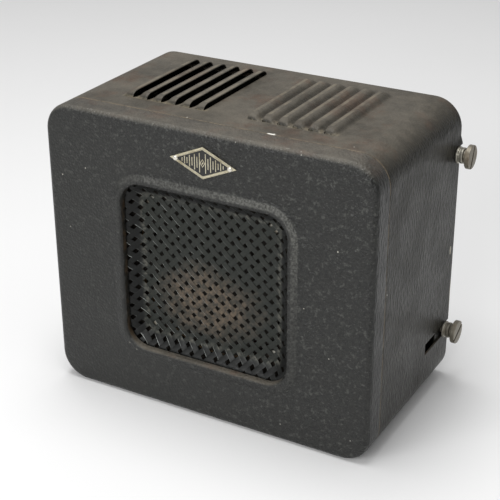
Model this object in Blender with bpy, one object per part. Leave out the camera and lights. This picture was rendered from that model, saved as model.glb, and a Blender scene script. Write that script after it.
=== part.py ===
"""Boxed cabinet loudspeaker in a pressed-steel case.

Frame: +Z up, +X to the viewer's right when looking at the grille, the grille
faces -Y.  The origin is on the surface the case stands on, under the middle of
the whole object.  Everything below is written in millimetres, with y measured
back from the flat front plate, and is turned into metres and shifted when the
mesh is made.
"""
import math

import bmesh
import bpy
from mathutils import Matrix, Vector

# ---------------------------------------------------------------- dimensions
MM = 0.001
CASE_W = 232.0            # width of case
CASE_H = 200.0            # height of case
CASE_D = 128.0            # front plate to rear edge of the sleeve
CASE_R = 19.0             # corner radius of the case outline
EDGE_R = 4.0              # rounding between front plate and its flange
SHEET = 1.2               # case sheet thickness
PAN_DEPTH = 16.5          # depth of the front pan (its rear edge is the seam)
GAP = 0.3                 # clearance kept between neighbouring pieces

OPEN_W = 118.0            # grille opening
OPEN_H = 116.0
OPEN_R = 15.0
OPEN_Z = 98.5             # height of the opening's centre
BEAD_W = 8.0              # width of the raised bead round the opening
BEAD_H = 2.0
LIP_Y = 2.6               # how far the bead's inner lip runs back

MESH_Y = 9.5              # front face of the flat part of the grille tray
MESH_IN = 6.5             # how far the tray's sides slope in
MESH_T = 0.8

BADGE_W = 46.5
BADGE_H = 20.6
BADGE_X = 1.7             # the badge sits a little right of the middle
BADGE_Z = 180.6
RIVET_X = 19.0

LOUVRE_PITCH = 10.45      # louvres: two banks of six on the top
LOUVRE_X = -1.9           # the pair of banks sits a little left of the middle
LOUVRE_FIRST = 15.55      # distance of the innermost lip from the middle of the pair
LOUVRE_Y0, LOUVRE_Y1 = 32.8, 113.8
LOUVRE_W = 8.4            # lip to closed side
LOUVRE_SLOT = 1.9         # how far a slot reaches beyond the lip, less for the innermost two
LOUVRE_H = 3.6

# clamp screws, axis along X: name, y, z and the closed end of the slot each sits in
SCREWS = (("lower", 120.5, 39.3, 87.5), ("upper", 123.4, 165.0, 120.0))
SLOT_HALF = 4.2
COLLAR_R, COLLAR_T = 5.6, 4.6
NECK_R = 4.4
SHANK_R = 2.85
HEAD_R, HEAD_T = 7.9, 3.2
HEAD_X = 126.3            # outer face of the screw heads

BAFFLE_Y0, BAFFLE_T = 12.0, 3.0
APERTURE_R = 58.0
STUD_X, STUD_Z = 71.5, 70.5
DRV_PCR = 62.1            # radius of the driver's bolt circle
DRV_Y = 18.0              # front of the driver's flange

REAR_Y0 = 108.0           # front edge of the rear panel's flange
REAR_Y1 = 130.4           # outer face of the rear panel
GROMMET = (-62.0, 42.0)
GROMMET_PROUD = 1.8

Y_MID = (REAR_Y1 + GROMMET_PROUD - BEAD_H) / 2.0


def clear_scene():
    for ob in list(bpy.data.objects):
        bpy.data.objects.remove(ob, do_unlink=True)


def place(x, y, z):
    return Vector((x * MM, (y - Y_MID) * MM, z * MM))


# ----------------------------------------------------------------- materials
def material(name, colour, rough, metal=0.0):
    mat = bpy.data.materials.get(name)
    if mat is None:
        mat = bpy.data.materials.new(name)
        mat.use_nodes = True
        bsdf = mat.node_tree.nodes["Principled BSDF"]
        bsdf.inputs["Base Color"].default_value = (*colour, 1.0)
        bsdf.inputs["Roughness"].default_value = rough
        bsdf.inputs["Metallic"].default_value = metal
    return mat


FINISH = {
    "case_paint": ((0.055, 0.055, 0.052), 0.55, 0.0),
    "mesh_steel": ((0.05, 0.052, 0.05), 0.5, 0.3),
    "nickel": ((0.45, 0.42, 0.36), 0.35, 1.0),
    "badge_metal": ((0.60, 0.56, 0.42), 0.35, 1.0),
    "zinc": ((0.42, 0.42, 0.40), 0.45, 1.0),
    "board": ((0.10, 0.06, 0.03), 0.8, 0.0),
    "card": ((0.20, 0.15, 0.09), 0.9, 0.0),
    "cone_paper": ((0.035, 0.033, 0.030), 0.95, 0.0),
    "basket_grey": ((0.20, 0.21, 0.20), 0.6, 0.0),
    "soft_iron": ((0.30, 0.30, 0.30), 0.5, 1.0),
    "magnet": ((0.16, 0.16, 0.17), 0.6, 1.0),
    "copper": ((0.65, 0.26, 0.10), 0.4, 1.0),
    "brass": ((0.60, 0.44, 0.18), 0.4, 1.0),
    "paxolin": ((0.16, 0.07, 0.03), 0.5, 0.0),
    "wax_paper": ((0.30, 0.20, 0.08), 0.6, 0.0),
    "rubber": ((0.02, 0.02, 0.02), 0.8, 0.0),
    "lead_red": ((0.35, 0.03, 0.02), 0.6, 0.0),
    "lead_black": ((0.02, 0.02, 0.02), 0.6, 0.0),
}


# ------------------------------------------------------------- mesh builders
def finish_object(name, bm, finish, smooth=None):
    bmesh.ops.recalc_face_normals(bm, faces=bm.faces[:])
    me = bpy.data.meshes.new(name)
    bm.to_mesh(me)
    bm.free()
    ob = bpy.data.objects.new(name, me)
    bpy.context.scene.collection.objects.link(ob)
    me.materials.append(material(finish, *FINISH[finish]))
    if smooth is not None:
        me.shade_smooth()
        me.set_sharp_from_angle(angle=math.radians(smooth))
    return ob


def ring_rect(w, h, r, y, cz, n=6):
    """Rounded rectangle in the XZ plane at depth y, centred on x=0, z=cz."""
    r = max(r, 0.2)
    pts = []
    for cx, cy, a0 in ((w / 2 - r, h / 2 - r, 0), (-w / 2 + r, h / 2 - r, 90),
                       (-w / 2 + r, -h / 2 + r, 180), (w / 2 - r, -h / 2 + r, 270)):
        for i in range(n + 1):
            a = math.radians(a0 + 90.0 * i / n)
            pts.append(place(cx + r * math.cos(a), y, cz + cy + r * math.sin(a)))
    return pts


def loft(bm, loops, closed=False):
    """Skin equal-length loops.  closed: the last loop meets the first, else both ends are capped."""
    rows = [[bm.verts.new(p) for p in loop] for loop in loops]
    n = len(rows[0])
    pairs = list(zip(rows, rows[1:]))
    if closed:
        pairs.append((rows[-1], rows[0]))
    for a, b in pairs:
        for i in range(n):
            j = (i + 1) % n
            bm.faces.new((a[i], a[j], b[j], b[i]))
    if not closed:
        bm.faces.new(list(reversed(rows[0])))
        bm.faces.new(rows[-1])
    return rows


def lofted(name, loops, finish, closed=False, smooth=35):
    bm = bmesh.new()
    loft(bm, loops, closed)
    return finish_object(name, bm, finish, smooth)


def circle(axis, cx, cy, cz, r, n, phase=0.0):
    """n points round an axis ('X', 'Y' or 'Z') through (cx, cy, cz)."""
    pts = []
    for i in range(n):
        a = 2 * math.pi * i / n + phase
        c, s = r * math.cos(a), r * math.sin(a)
        if axis == "X":
            pts.append(place(cx, cy + c, cz + s))
        elif axis == "Y":
            pts.append(place(cx + c, cy, cz + s))
        else:
            pts.append(place(cx + c, cy + s, cz))
    return pts


def turned(name, axis, centre, profile, n, finish, closed=False, smooth=35, phase=0.0):
    """Turned piece.  profile is (radius, position along the axis); closed profiles make rings."""
    loops = []
    for r, t in profile:
        c = list(centre)
        c["XYZ".index(axis)] = t
        loops.append(circle(axis, *c, r, n, phase))
    return lofted(name, loops, finish, closed, smooth)


def boxed(bm, x0, x1, y0, y1, z0, z1):
    loft(bm, [[place(x0, y, z0), place(x1, y, z0), place(x1, y, z1), place(x0, y, z1)] for y in (y0, y1)])


def prism(bm, outline, y0, y1):
    """outline is (x, z) points, extruded along y."""
    loft(bm, [[place(x, y, z) for x, z in outline] for y in (y0, y1)])


def cut(target, cutter, operation="DIFFERENCE"):
    cutter.hide_render = True
    cutter.display_type = "WIRE"
    mod = target.modifiers.new(operation.title() + "_" + cutter.name, "BOOLEAN")
    mod.operation = operation
    mod.solver = "EXACT"
    mod.object = cutter
    return mod


def cutter_from(name, build):
    bm = bmesh.new()
    build(bm)
    return finish_object(name, bm, "case_paint")


def pegs(bm, axis, places, r, t0, t1, n=12, phase=0.0):
    for c in places:
        loops = []
        for t in (t0, t1):
            p = list(c)
            p["XYZ".index(axis)] = t
            loops.append(circle(axis, *p, r, n, phase))
        loft(bm, loops)


# ------------------------------------------------------------------ the case
def front_panel():
    """Drawn steel pan: rounded outline, rolled edge, raised bead and lip round the opening."""
    w, h, r = CASE_W, CASE_H, CASE_R
    cz = CASE_H / 2
    outer = [ring_rect(w, h, r, PAN_DEPTH, cz)]
    for k in range(5):
        a = math.radians(22.5 * k)
        inset = EDGE_R * (1 - math.cos(a))
        outer.append(ring_rect(w - 2 * inset, h - 2 * inset, r - inset, EDGE_R * (1 - math.sin(a)), cz))

    def opening(off, y):
        return ring_rect(OPEN_W + 2 * off, OPEN_H + 2 * off, OPEN_R + off, y, OPEN_Z)

    bead = [opening(BEAD_W, 0.0), opening(BEAD_W - 1.6, -0.45), opening(BEAD_W - 3.4, -1.45),
            opening(BEAD_W - 5.0, -BEAD_H), opening(1.5, -BEAD_H + 0.15), opening(0.4, -1.0),
            opening(0.0, 0.2), opening(0.0, LIP_Y)]
    back = [opening(SHEET, LIP_Y), opening(SHEET, SHEET),
            ring_rect(w - 2 * EDGE_R, h - 2 * EDGE_R, r - EDGE_R, SHEET, cz),
            ring_rect(w - 2 * SHEET - 1.6, h - 2 * SHEET - 1.6, r - SHEET - 0.8, SHEET + 0.8, cz),
            ring_rect(w - 2 * SHEET, h - 2 * SHEET, r - SHEET, EDGE_R, cz),
            ring_rect(w - 2 * SHEET, h - 2 * SHEET, r - SHEET, PAN_DEPTH, cz)]
    pan = lofted("front_panel", outer + bead + back, "case_paint", closed=True)
    studs = cutter_from("guide_studs", lambda bm: pegs(
        bm, "Y", [(sx * STUD_X, 0, OPEN_Z + sz * STUD_Z) for sx in (-1, 1) for sz in (-1, 1)],
        2.0, SHEET - 0.5, 20.0))
    cut(pan, studs, "UNION")
    holes = cutter_from("guide_badge_holes", lambda bm: pegs(
        bm, "Y", [(BADGE_X + s * RIVET_X, 0, BADGE_Z) for s in (-1, 1)], 1.25, -3.0, 4.0))
    cut(pan, holes)
    return pan


def louvre_loops(side, lip):
    """A louvre hood as loops across its width, one loop for each station along y.

    side: +1 when the hood's open lip faces +X.  The crest is just behind the lip,
    and the hood falls smoothly to the sheet on its closed side; both ends are rounded.
    """
    loops = []
    stations = [(0.0, 0.02), (1.2, 0.6), (3.0, 0.88), (6.0, 1.0)]
    marks = [(LOUVRE_Y0 + d, k) for d, k in stations] + [(LOUVRE_Y1 - d, k) for d, k in reversed(stations)]
    for y, k in marks:
        row = []
        for v, hgt in ((0.0, 0.93), (0.15, 1.0), (0.40, 0.96), (0.62, 0.71), (0.82, 0.25), (1.0, 0.0)):
            row.append(place(lip - side * v * LOUVRE_W, y, CASE_H + LOUVRE_H * hgt * k + (0.02 if v < 1.0 else 0.0)))
        row.append(place(lip - side * LOUVRE_W, y, CASE_H - 0.6))
        row.append(place(lip, y, CASE_H - 0.6))
        loops.append(row)
    return loops


def louvre_void(side, lip, slot):
    """Hollow under a hood: through the sheet, up to the hood's underside and out past the lip."""
    rows = []
    for y, k in ((LOUVRE_Y0 + 1.5, 0.45), (LOUVRE_Y0 + 5.0, 1.0), (LOUVRE_Y1 - 5.0, 1.0), (LOUVRE_Y1 - 1.5, 0.45)):
        rows.append([place(lip + side * slot * k, y, CASE_H - 3.0),
                     place(lip + side * slot * k, y, CASE_H + 0.6),
                     place(lip + side * 0.4, y, CASE_H + (0.93 * LOUVRE_H - 0.8) * k),
                     place(lip - side * 2.4, y, CASE_H + (0.97 * LOUVRE_H - 0.9) * k),
                     place(lip - side * 5.1, y, CASE_H + 1.5 * k),
                     place(lip - side * 6.5, y, CASE_H + 0.1 * k),
                     place(lip - side * 6.5, y, CASE_H - 3.0)])
    return rows


def case_sleeve():
    """Wrap-round sleeve: a tongue inside the pan's flange, louvres on top, clamp slots at the back."""
    w, h, r, cz = CASE_W, CASE_H, CASE_R, CASE_H / 2

    def loop(inset, y):
        return ring_rect(w - 2 * inset, h - 2 * inset, r - inset, y, cz)

    seam = PAN_DEPTH + GAP
    t, g = SHEET, SHEET + GAP
    sleeve = lofted("case_sleeve", [
        loop(0, seam), loop(0, CASE_D), loop(t, CASE_D), loop(t, seam + 2.5),
        loop(g + t, seam + 0.6), loop(g + t, seam - 9.0), loop(g, seam - 9.0), loop(g, seam)],
        "case_paint", closed=True)

    hoods = bmesh.new()
    voids = bmesh.new()
    for bank in (-1, 1):
        for i in range(6):
            lip = LOUVRE_X + bank * (LOUVRE_FIRST + LOUVRE_PITCH * i)
            side = -bank                      # both banks open towards the middle
            loft(hoods, louvre_loops(side, lip))
            loft(voids, louvre_void(side, lip, LOUVRE_SLOT if i else 0.3))
    hood_ob = finish_object("guide_hoods", hoods, "case_paint")
    void_ob = finish_object("guide_hood_voids", voids, "case_paint")
    cut(sleeve, hood_ob, "UNION")
    cut(sleeve, void_ob)

    def slots(bm):
        for sx in (-1, 1):
            for _, _, z, y0 in SCREWS:
                x = sorted((sx * (w / 2 - 6), sx * (w / 2 + 4)))
                boxed(bm, x[0], x[1], y0, CASE_D + 4, z - SLOT_HALF, z + SLOT_HALF)
    cut(sleeve, cutter_from("guide_slots", slots))
    # two studs welded to the floor of the sleeve carry the transformer
    cut(sleeve, cutter_from("guide_floor_studs", lambda bm: pegs(
        bm, "Z", [(s * XF_FOOT_X, XF_Y, 0) for s in (-1, 1)], 1.9, SHEET - 0.5, 9.5)), "UNION")
    return sleeve


def grille_mesh():
    """Pressed tray of woven flat strip, here as one plain sheet of its outer shape."""
    def opening(off, y):
        return ring_rect(OPEN_W + 2 * off, OPEN_H + 2 * off, max(OPEN_R + off, 5.0), y, OPEN_Z)
    f0 = LIP_Y + GAP
    front = [opening(-MESH_IN, MESH_Y), opening(-MESH_IN + 2.0, MESH_Y - 1.2), opening(-1.2, f0 + 0.4),
             opening(0.0, f0), opening(5.0, f0)]
    back = [opening(5.0, f0 + MESH_T), opening(0.6, f0 + MESH_T), opening(-0.4, f0 + MESH_T + 0.6),
            opening(-MESH_IN + 2.6, MESH_Y + MESH_T - 1.0), opening(-MESH_IN + 0.3, MESH_Y + MESH_T)]
    return lofted("grille_mesh", front + back, "mesh_steel")


def stud_holes(name, y0, y1):
    return cutter_from(name, lambda bm: pegs(
        bm, "Y", [(sx * STUD_X, 0, OPEN_Z + sz * STUD_Z) for sx in (-1, 1) for sz in (-1, 1)], 2.4, y0, y1))


def driver_bolt_places(count=4):
    return [(DRV_PCR * math.cos(math.radians(45 + 90 * k)), 0,
             OPEN_Z + DRV_PCR * math.sin(math.radians(45 + 90 * k))) for k in range(count)]


def baffle_assembly():
    """Spacer frame that presses the grille tray forward, and the baffle that carries the driver."""
    y0 = LIP_Y + GAP + MESH_T + GAP
    y1 = BAFFLE_Y0 - GAP
    frame = lofted("spacer_frame", [
        ring_rect(156, 154, 8, y0, OPEN_Z, 4), ring_rect(156, 154, 8, y1, OPEN_Z, 4),
        ring_rect(122, 120, 12, y1, OPEN_Z, 4), ring_rect(122, 120, 12, y0, OPEN_Z, 4)],
        "board", closed=True)
    cut(frame, stud_holes("guide_holes_frame", y0 - 2, y1 + 2))

    bm = bmesh.new()
    prism(bm, [(p.x / MM, p.z / MM) for p in ring_rect(160, 158, 9, 0, OPEN_Z, 4)], BAFFLE_Y0, BAFFLE_Y0 + BAFFLE_T)
    baffle = finish_object("baffle_board", bm, "board", 35)
    cut(baffle, cutter_from("guide_aperture", lambda b: pegs(
        b, "Y", [(0, 0, OPEN_Z)], APERTURE_R, BAFFLE_Y0 - 2, BAFFLE_Y0 + BAFFLE_T + 2, 32)))
    cut(baffle, stud_holes("guide_holes_baffle", BAFFLE_Y0 - 2, BAFFLE_Y0 + BAFFLE_T + 2))
    cut(baffle, cutter_from("guide_holes_driver", lambda b: pegs(
        b, "Y", driver_bolt_places(), 2.2, BAFFLE_Y0 - 2, BAFFLE_Y0 + BAFFLE_T + 2)))

    n0 = BAFFLE_Y0 + BAFFLE_T + GAP
    names = ("ll", "ul", "lr", "ur")
    k = 0
    for sx in (-1, 1):
        for sz in (-1, 1):
            hexnut("baffle_nut_" + names[k], "Y", (sx * STUD_X, 0, OPEN_Z + sz * STUD_Z), 4.0, 2.3, n0, n0 + 3.0)
            k += 1


def hexnut(name, axis, c, r_out, r_in, t0, t1, finish="zinc"):
    """Hexagon nut: both outlines have twelve points, so the flats stay flat."""
    def hexring(r, t):
        pts = []
        for i in range(12):
            a = math.radians(30 * i)
            rr = r if i % 2 == 0 else r * math.cos(math.radians(30))
            p = list(c)
            p["XYZ".index(axis)] = t
            u, v = rr * math.cos(a), rr * math.sin(a)
            if axis == "X":
                pts.append(place(p[0], p[1] + u, p[2] + v))
            elif axis == "Y":
                pts.append(place(p[0] + u, p[1], p[2] + v))
            else:
                pts.append(place(p[0] + u, p[1] + v, p[2]))
        return pts

    def bore(t):
        p = list(c)
        p["XYZ".index(axis)] = t
        return circle(axis, *p, r_in, 12)
    return lofted(name, [hexring(r_out, t0), hexring(r_out, t1), bore(t1), bore(t0)], finish, closed=True, smooth=20)


def badge():
    """Diamond name-plate blank held by two dome-headed rivets."""
    w, h = BADGE_W / 2, BADGE_H / 2
    out = [(BADGE_X + w, BADGE_Z), (BADGE_X, BADGE_Z + h), (BADGE_X - w, BADGE_Z), (BADGE_X, BADGE_Z - h)]
    bm = bmesh.new()
    prism(bm, out, -1.1, -GAP)
    plate = finish_object("badge_plate", bm, "badge_metal")
    cut(plate, cutter_from("guide_badge_bores", lambda b: pegs(
        b, "Y", [(BADGE_X + s * RIVET_X, 0, BADGE_Z) for s in (-1, 1)], 1.25, -3, 2)))
    for s, side in ((-1, "left"), (1, "right")):
        turned("badge_rivet_" + side, "Y", (BADGE_X + s * RIVET_X, 0, BADGE_Z),
               [(0.5, -2.0), (1.2, -1.9), (1.65, -1.6), (1.65, -1.4), (0.9, -1.4), (0.9, SHEET + GAP),
                (1.6, SHEET + GAP), (1.4, SHEET + 0.9)], 12, "nickel")


# ---------------------------------------------------------------- the driver
def driver():
    c = (0, 0, OPEN_Z)
    turned("gasket_ring", "Y", c, [(66, 15.3), (66, 16.9), (58, 16.9), (58, 15.3)], 32, "card", closed=True)
    basket = turned("driver_basket", "Y", c, [
        (66, DRV_Y), (58, DRV_Y), (56, DRV_Y + 2.2), (52.5, DRV_Y + 7.5), (32, 44.5), (30, 48.0), (16, 48.0),
        (16, 49.2), (31, 49.2), (33.2, 45.2), (53.6, DRV_Y + 8.4), (57.2, DRV_Y + 3.0), (58.5, DRV_Y + 1.2),
        (66, DRV_Y + 1.2)], 32, "basket_grey", closed=True)

    def windows(bm):
        for k in range(4):
            mid = 90 * k
            loops = []
            for r, y, half in ((60, DRV_Y + 5.5, 30), (30, 42.0, 22)):
                row = []
                for dr, dy in ((-3, -4.5), (9, 9)):
                    for a in ((-half, 0, half) if dr < 0 else (half, 0, -half)):
                        ang = math.radians(mid + a)
                        row.append(place((r + dr) * math.cos(ang), y + dy, OPEN_Z + (r + dr) * math.sin(ang)))
                loops.append(row)
            loft(bm, loops)
    cut(basket, cutter_from("guide_windows", windows))
    cut(basket, cutter_from("guide_holes_basket", lambda b: pegs(
        b, "Y", driver_bolt_places(), 2.2, DRV_Y - 2, DRV_Y + 4)))
    cut(bpy.data.objects["gasket_ring"], cutter_from("guide_holes_gasket", lambda b: pegs(
        b, "Y", driver_bolt_places(), 2.3, 14, 18)))

    # corrugated edge of the cone, glued to the basket's rim
    front = [(59.4, 17.2), (57.3, 17.2), (55.2, 16.3), (53.2, 17.3), (50.6, 17.3)]
    turned("cone_surround", "Y", c, front + [(r, y + 0.4) for r, y in reversed(front)], 24, "cone_paper", closed=True)
    # paper cone with a slightly curved wall
    wall = [(49.8, 18.3), (42.5, 23.8), (33.4, 30.2), (23.8, 36.8), (15.4, 42.6), (13.4, 44.6)]
    turned("cone", "Y", c, wall + [(r + 0.35, y + 0.55) for r, y in reversed(wall)], 24, "cone_paper", closed=True)
    dome = [(14.6 * math.sin(math.radians(t)), 35.6 + 6.2 * (1 - math.cos(math.radians(t))) * 1.0)
            for t in (8, 30, 52, 72, 88)]
    turned("dust_cap", "Y", c, dome + [(max(r - 0.3, 0.6), y + 0.45) for r, y in reversed(dome)], 16, "cone_paper")
    turned("coil_former", "Y", c, [(13.0, 42.9), (13.0, 57.5), (12.6, 57.5), (12.6, 42.9)], 24, "card", closed=True)
    turned("voice_coil", "Y", c, [(13.9, 50.0), (13.9, 57.0), (13.3, 57.0), (13.3, 50.0)], 24, "copper", closed=True)
    spider = [(28.5, 47.0), (25.5, 47.0), (23.0, 46.2), (20.5, 47.0), (18.0, 46.2), (15.5, 46.8), (13.35, 46.8)]
    turned("centring_spider", "Y", c, spider + [(r, y + 0.45) for r, y in reversed(spider)], 20, "card", closed=True)

    turned("top_plate", "Y", c, [(26.0, 49.5), (26.0, 54.5), (14.7, 54.5), (14.7, 49.5)], 24, "soft_iron", closed=True)
    turned("yoke_cup", "Y", c, [(26.0, 54.8), (26.0, 82.5), (24.5, 84.5), (0.0, 84.5), (0.0, 79.6), (20.5, 79.6),
                                (20.5, 54.8)][:3] + [(6.0, 84.5), (6.0, 79.6), (20.5, 79.6), (20.5, 54.8)],
           24, "soft_iron", closed=True)
    turned("magnet_slug", "Y", c, [(13.5, 61.3), (14.5, 62.0), (14.5, 78.6), (13.5, 79.3)], 24, "magnet")
    turned("pole_piece", "Y", c, [(11.4, 49.5), (12.0, 50.1), (12.0, 61.0)], 24, "soft_iron")
    turned("yoke_rivet", "Y", c, [(5.6, 79.6), (5.6, 84.8), (8.0, 84.8), (7.4, 86.3), (3.0, 86.8)], 16, "soft_iron")

    n0 = DRV_Y + 1.2 + GAP
    for k, p in enumerate(driver_bolt_places()):
        tag = ("ur", "ul", "ll", "lr")[k]
        turned("driver_bolt_" + tag, "Y", p, [(1.6, 10.6), (3.2, 10.9), (3.2, 11.7), (1.9, 11.7), (1.9, 23.2)], 12, "zinc")
        hexnut("driver_nut_" + tag, "Y", p, 3.3, 2.1, n0, n0 + 2.6)


# ---------------------------------------------- transformer and inner wiring
XF_Y = 62.0
XF_FOOT_X = 27.0


def transformer():
    """Small line transformer on the floor of the sleeve, with its clamp frame and tag board."""
    z0 = SHEET + GAP
    bm = bmesh.new()
    strap = [(-32, z0), (-20.5, z0), (-20.5, z0 + 29.5), (20.5, z0 + 29.5), (20.5, z0), (32, z0), (32, z0 + 1.2),
             (21.7, z0 + 1.2), (21.7, z0 + 30.7), (-21.7, z0 + 30.7), (-21.7, z0 + 1.2), (-32, z0 + 1.2)]
    prism(bm, strap, XF_Y - 7.5, XF_Y + 7.5)
    frame = finish_object("transformer_frame", bm, "zinc", 20)
    cut(frame, cutter_from("guide_holes_xf", lambda b: pegs(
        b, "Z", [(s * XF_FOOT_X, XF_Y, 0) for s in (-1, 1)], 2.2, z0 - 1, z0 + 4)))
    for s, side in ((-1, "left"), (1, "right")):
        hexnut("transformer_nut_" + side, "Z", (s * XF_FOOT_X, XF_Y, 0), 3.8, 2.1, z0 + 1.5, z0 + 4.2)
    # laminated core: a square ring standing in the frame, with windows open front to back
    bm = bmesh.new()
    loft(bm, [[place(x, y, z) for x, z in ring] for ring, y in (
        ([(-20, z0 + 0.2), (20, z0 + 0.2), (20, z0 + 29.1), (-20, z0 + 29.1)], XF_Y - 7),
        ([(-20, z0 + 0.2), (20, z0 + 0.2), (20, z0 + 29.1), (-20, z0 + 29.1)], XF_Y + 7),
        ([(-13.5, z0 + 6.4), (13.5, z0 + 6.4), (13.5, z0 + 22.9), (-13.5, z0 + 22.9)], XF_Y + 7),
        ([(-13.5, z0 + 6.4), (13.5, z0 + 6.4), (13.5, z0 + 22.9), (-13.5, z0 + 22.9)], XF_Y - 7))], closed=True)
    finish_object("transformer_core", bm, "soft_iron")
    winding = [ring_rect_at(25.6, 26.0, 5.0, z, XF_Y) for z in (z0 + 6.8, z0 + 22.5)]
    lofted("transformer_winding", winding, "wax_paper")
    # tag board standing on the frame, where the incoming cable is soldered
    bm = bmesh.new()
    prism(bm, [(-17, z0 + 31.0), (17, z0 + 31.0), (17, z0 + 41.0), (-17, z0 + 41.0)], XF_Y - 0.8, XF_Y + 0.8)
    board = finish_object("tag_board", bm, "paxolin")
    for s, side in ((-1, "left"), (1, "right")):
        bm = bmesh.new()
        prism(bm, [(s * 11 - 1.6, z0 + 35), (s * 11 + 1.6, z0 + 35), (s * 11 + 1.6, z0 + 46), (s * 11 - 1.6, z0 + 46)],
              XF_Y + 1.1, XF_Y + 1.6)
        finish_object("input_tag_" + side, bm, "brass")

    # terminal board riveted behind the driver's rim, at the bottom
    bz = OPEN_Z - 61.8
    bm = bmesh.new()
    y0 = DRV_Y + 1.2 + GAP
    prism(bm, [(-12, bz - 4.5), (12, bz - 4.5), (12, bz + 3.4), (-12, bz + 3.4)], y0, y0 + 1.6)
    finish_object("driver_tag_board", bm, "paxolin")
    for s, side in ((-1, "left"), (1, "right")):
        bm = bmesh.new()
        prism(bm, [(s * 7 - 1.7, bz - 3.6), (s * 7 + 1.7, bz - 3.6), (s * 7 + 1.7, bz + 2.6), (s * 7 - 1.7, bz + 2.6)],
              y0 + 1.9, y0 + 2.5)
        finish_object("driver_tag_" + side, bm, "brass")
        lead("speaker_lead_" + side, s, y0 + 2.8, bz, z0 + 36.0)


def ring_rect_at(w, d, r, z, y, n=3):
    pts = []
    for cx, cy, a0 in ((w / 2 - r, d / 2 - r, 0), (-w / 2 + r, d / 2 - r, 90),
                       (-w / 2 + r, -d / 2 + r, 180), (w / 2 - r, -d / 2 + r, 270)):
        for i in range(n + 1):
            a = math.radians(a0 + 90.0 * i / n)
            pts.append(place(cx + r * math.cos(a), y + cy + r * math.sin(a), z))
    return pts


def lead(name, s, y_tag, z_tag, z_board):
    """Insulated lead held at both ends, from a driver tag to the front of the tag board."""
    start = Vector((s * 7.0, y_tag, z_tag))
    end = Vector((s * 13.2, XF_Y - 1.1, z_board))
    ctrl = [start, start + Vector((0, 12, 1.5)), end + Vector((s * 1.5, -14, 3.0)), end]
    pts = []
    for i in range(15):
        t = i / 14
        p = ((1 - t) ** 3) * ctrl[0] + 3 * t * (1 - t) ** 2 * ctrl[1] + 3 * t * t * (1 - t) * ctrl[2] + t ** 3 * ctrl[3]
        pts.append(place(*p))
    cu = bpy.data.curves.new(name, "CURVE")
    cu.dimensions = "3D"
    cu.bevel_depth = 0.8 * MM
    cu.bevel_resolution = 1
    cu.use_fill_caps = True
    sp = cu.splines.new("POLY")
    sp.points.add(len(pts) - 1)
    for q, p in zip(sp.points, pts):
        q.co = (*p, 1.0)
    ob = bpy.data.objects.new(name, cu)
    bpy.context.scene.collection.objects.link(ob)
    key = "lead_red" if s > 0 else "lead_black"
    cu.materials.append(material(key, *FINISH[key]))
    return ob


# ---------------------------------------------------- rear panel and clamps
def rear_panel():
    """Shallow pan that slides into the back of the sleeve, with a swaged stiffening bead."""
    inset = SHEET + GAP
    cz = CASE_H / 2

    def loop(ins, y):
        return ring_rect(CASE_W - 2 * ins, CASE_H - 2 * ins, max(CASE_R - ins, 3.0), y, cz)
    t = SHEET
    y1 = REAR_Y1
    loops = [loop(30.0, y1 - t), loop(26.0, y1 - t), loop(25.2, y1 - t + 1.2), loop(22.8, y1 - t + 1.2),
             loop(22.0, y1 - t), loop(inset + 2.2, y1 - t), loop(inset + t, y1 - 2.2), loop(inset + t, REAR_Y0),
             loop(inset, REAR_Y0), loop(inset, y1 - 1.6), loop(inset + 0.5, y1 - 0.4), loop(inset + 1.8, y1),
             loop(21.4, y1), loop(22.2, y1 + 1.2), loop(25.8, y1 + 1.2), loop(26.6, y1), loop(30.0, y1)]
    panel = lofted("rear_panel", loops, "case_paint")

    def holes(bm):
        for sx in (-1, 1):
            xs = sorted((sx * 105.0, sx * 120.0))
            for _, y, z, _ in SCREWS:
                pegs(bm, "X", [(0, y, z)], 3.3, xs[0], xs[1])
        pegs(bm, "Y", [(GROMMET[0], 0, GROMMET[1])], 5.6, y1 - 4, y1 + 3, 16)
    cut(panel, cutter_from("guide_rear_holes", holes))
    g = (GROMMET[0], 0, GROMMET[1])
    turned("cable_grommet", "Y", g, [
        (3.2, y1 - 3.2), (3.2, y1 + GROMMET_PROUD), (6.4, y1 + GROMMET_PROUD), (7.6, y1 + 1.1), (7.6, y1 + GAP), (5.2, y1 + GAP),
        (5.2, y1 - SHEET - GAP), (7.6, y1 - SHEET - GAP), (7.6, y1 - 2.6), (6.4, y1 - 3.2)],
        16, "rubber", closed=True)


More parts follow.
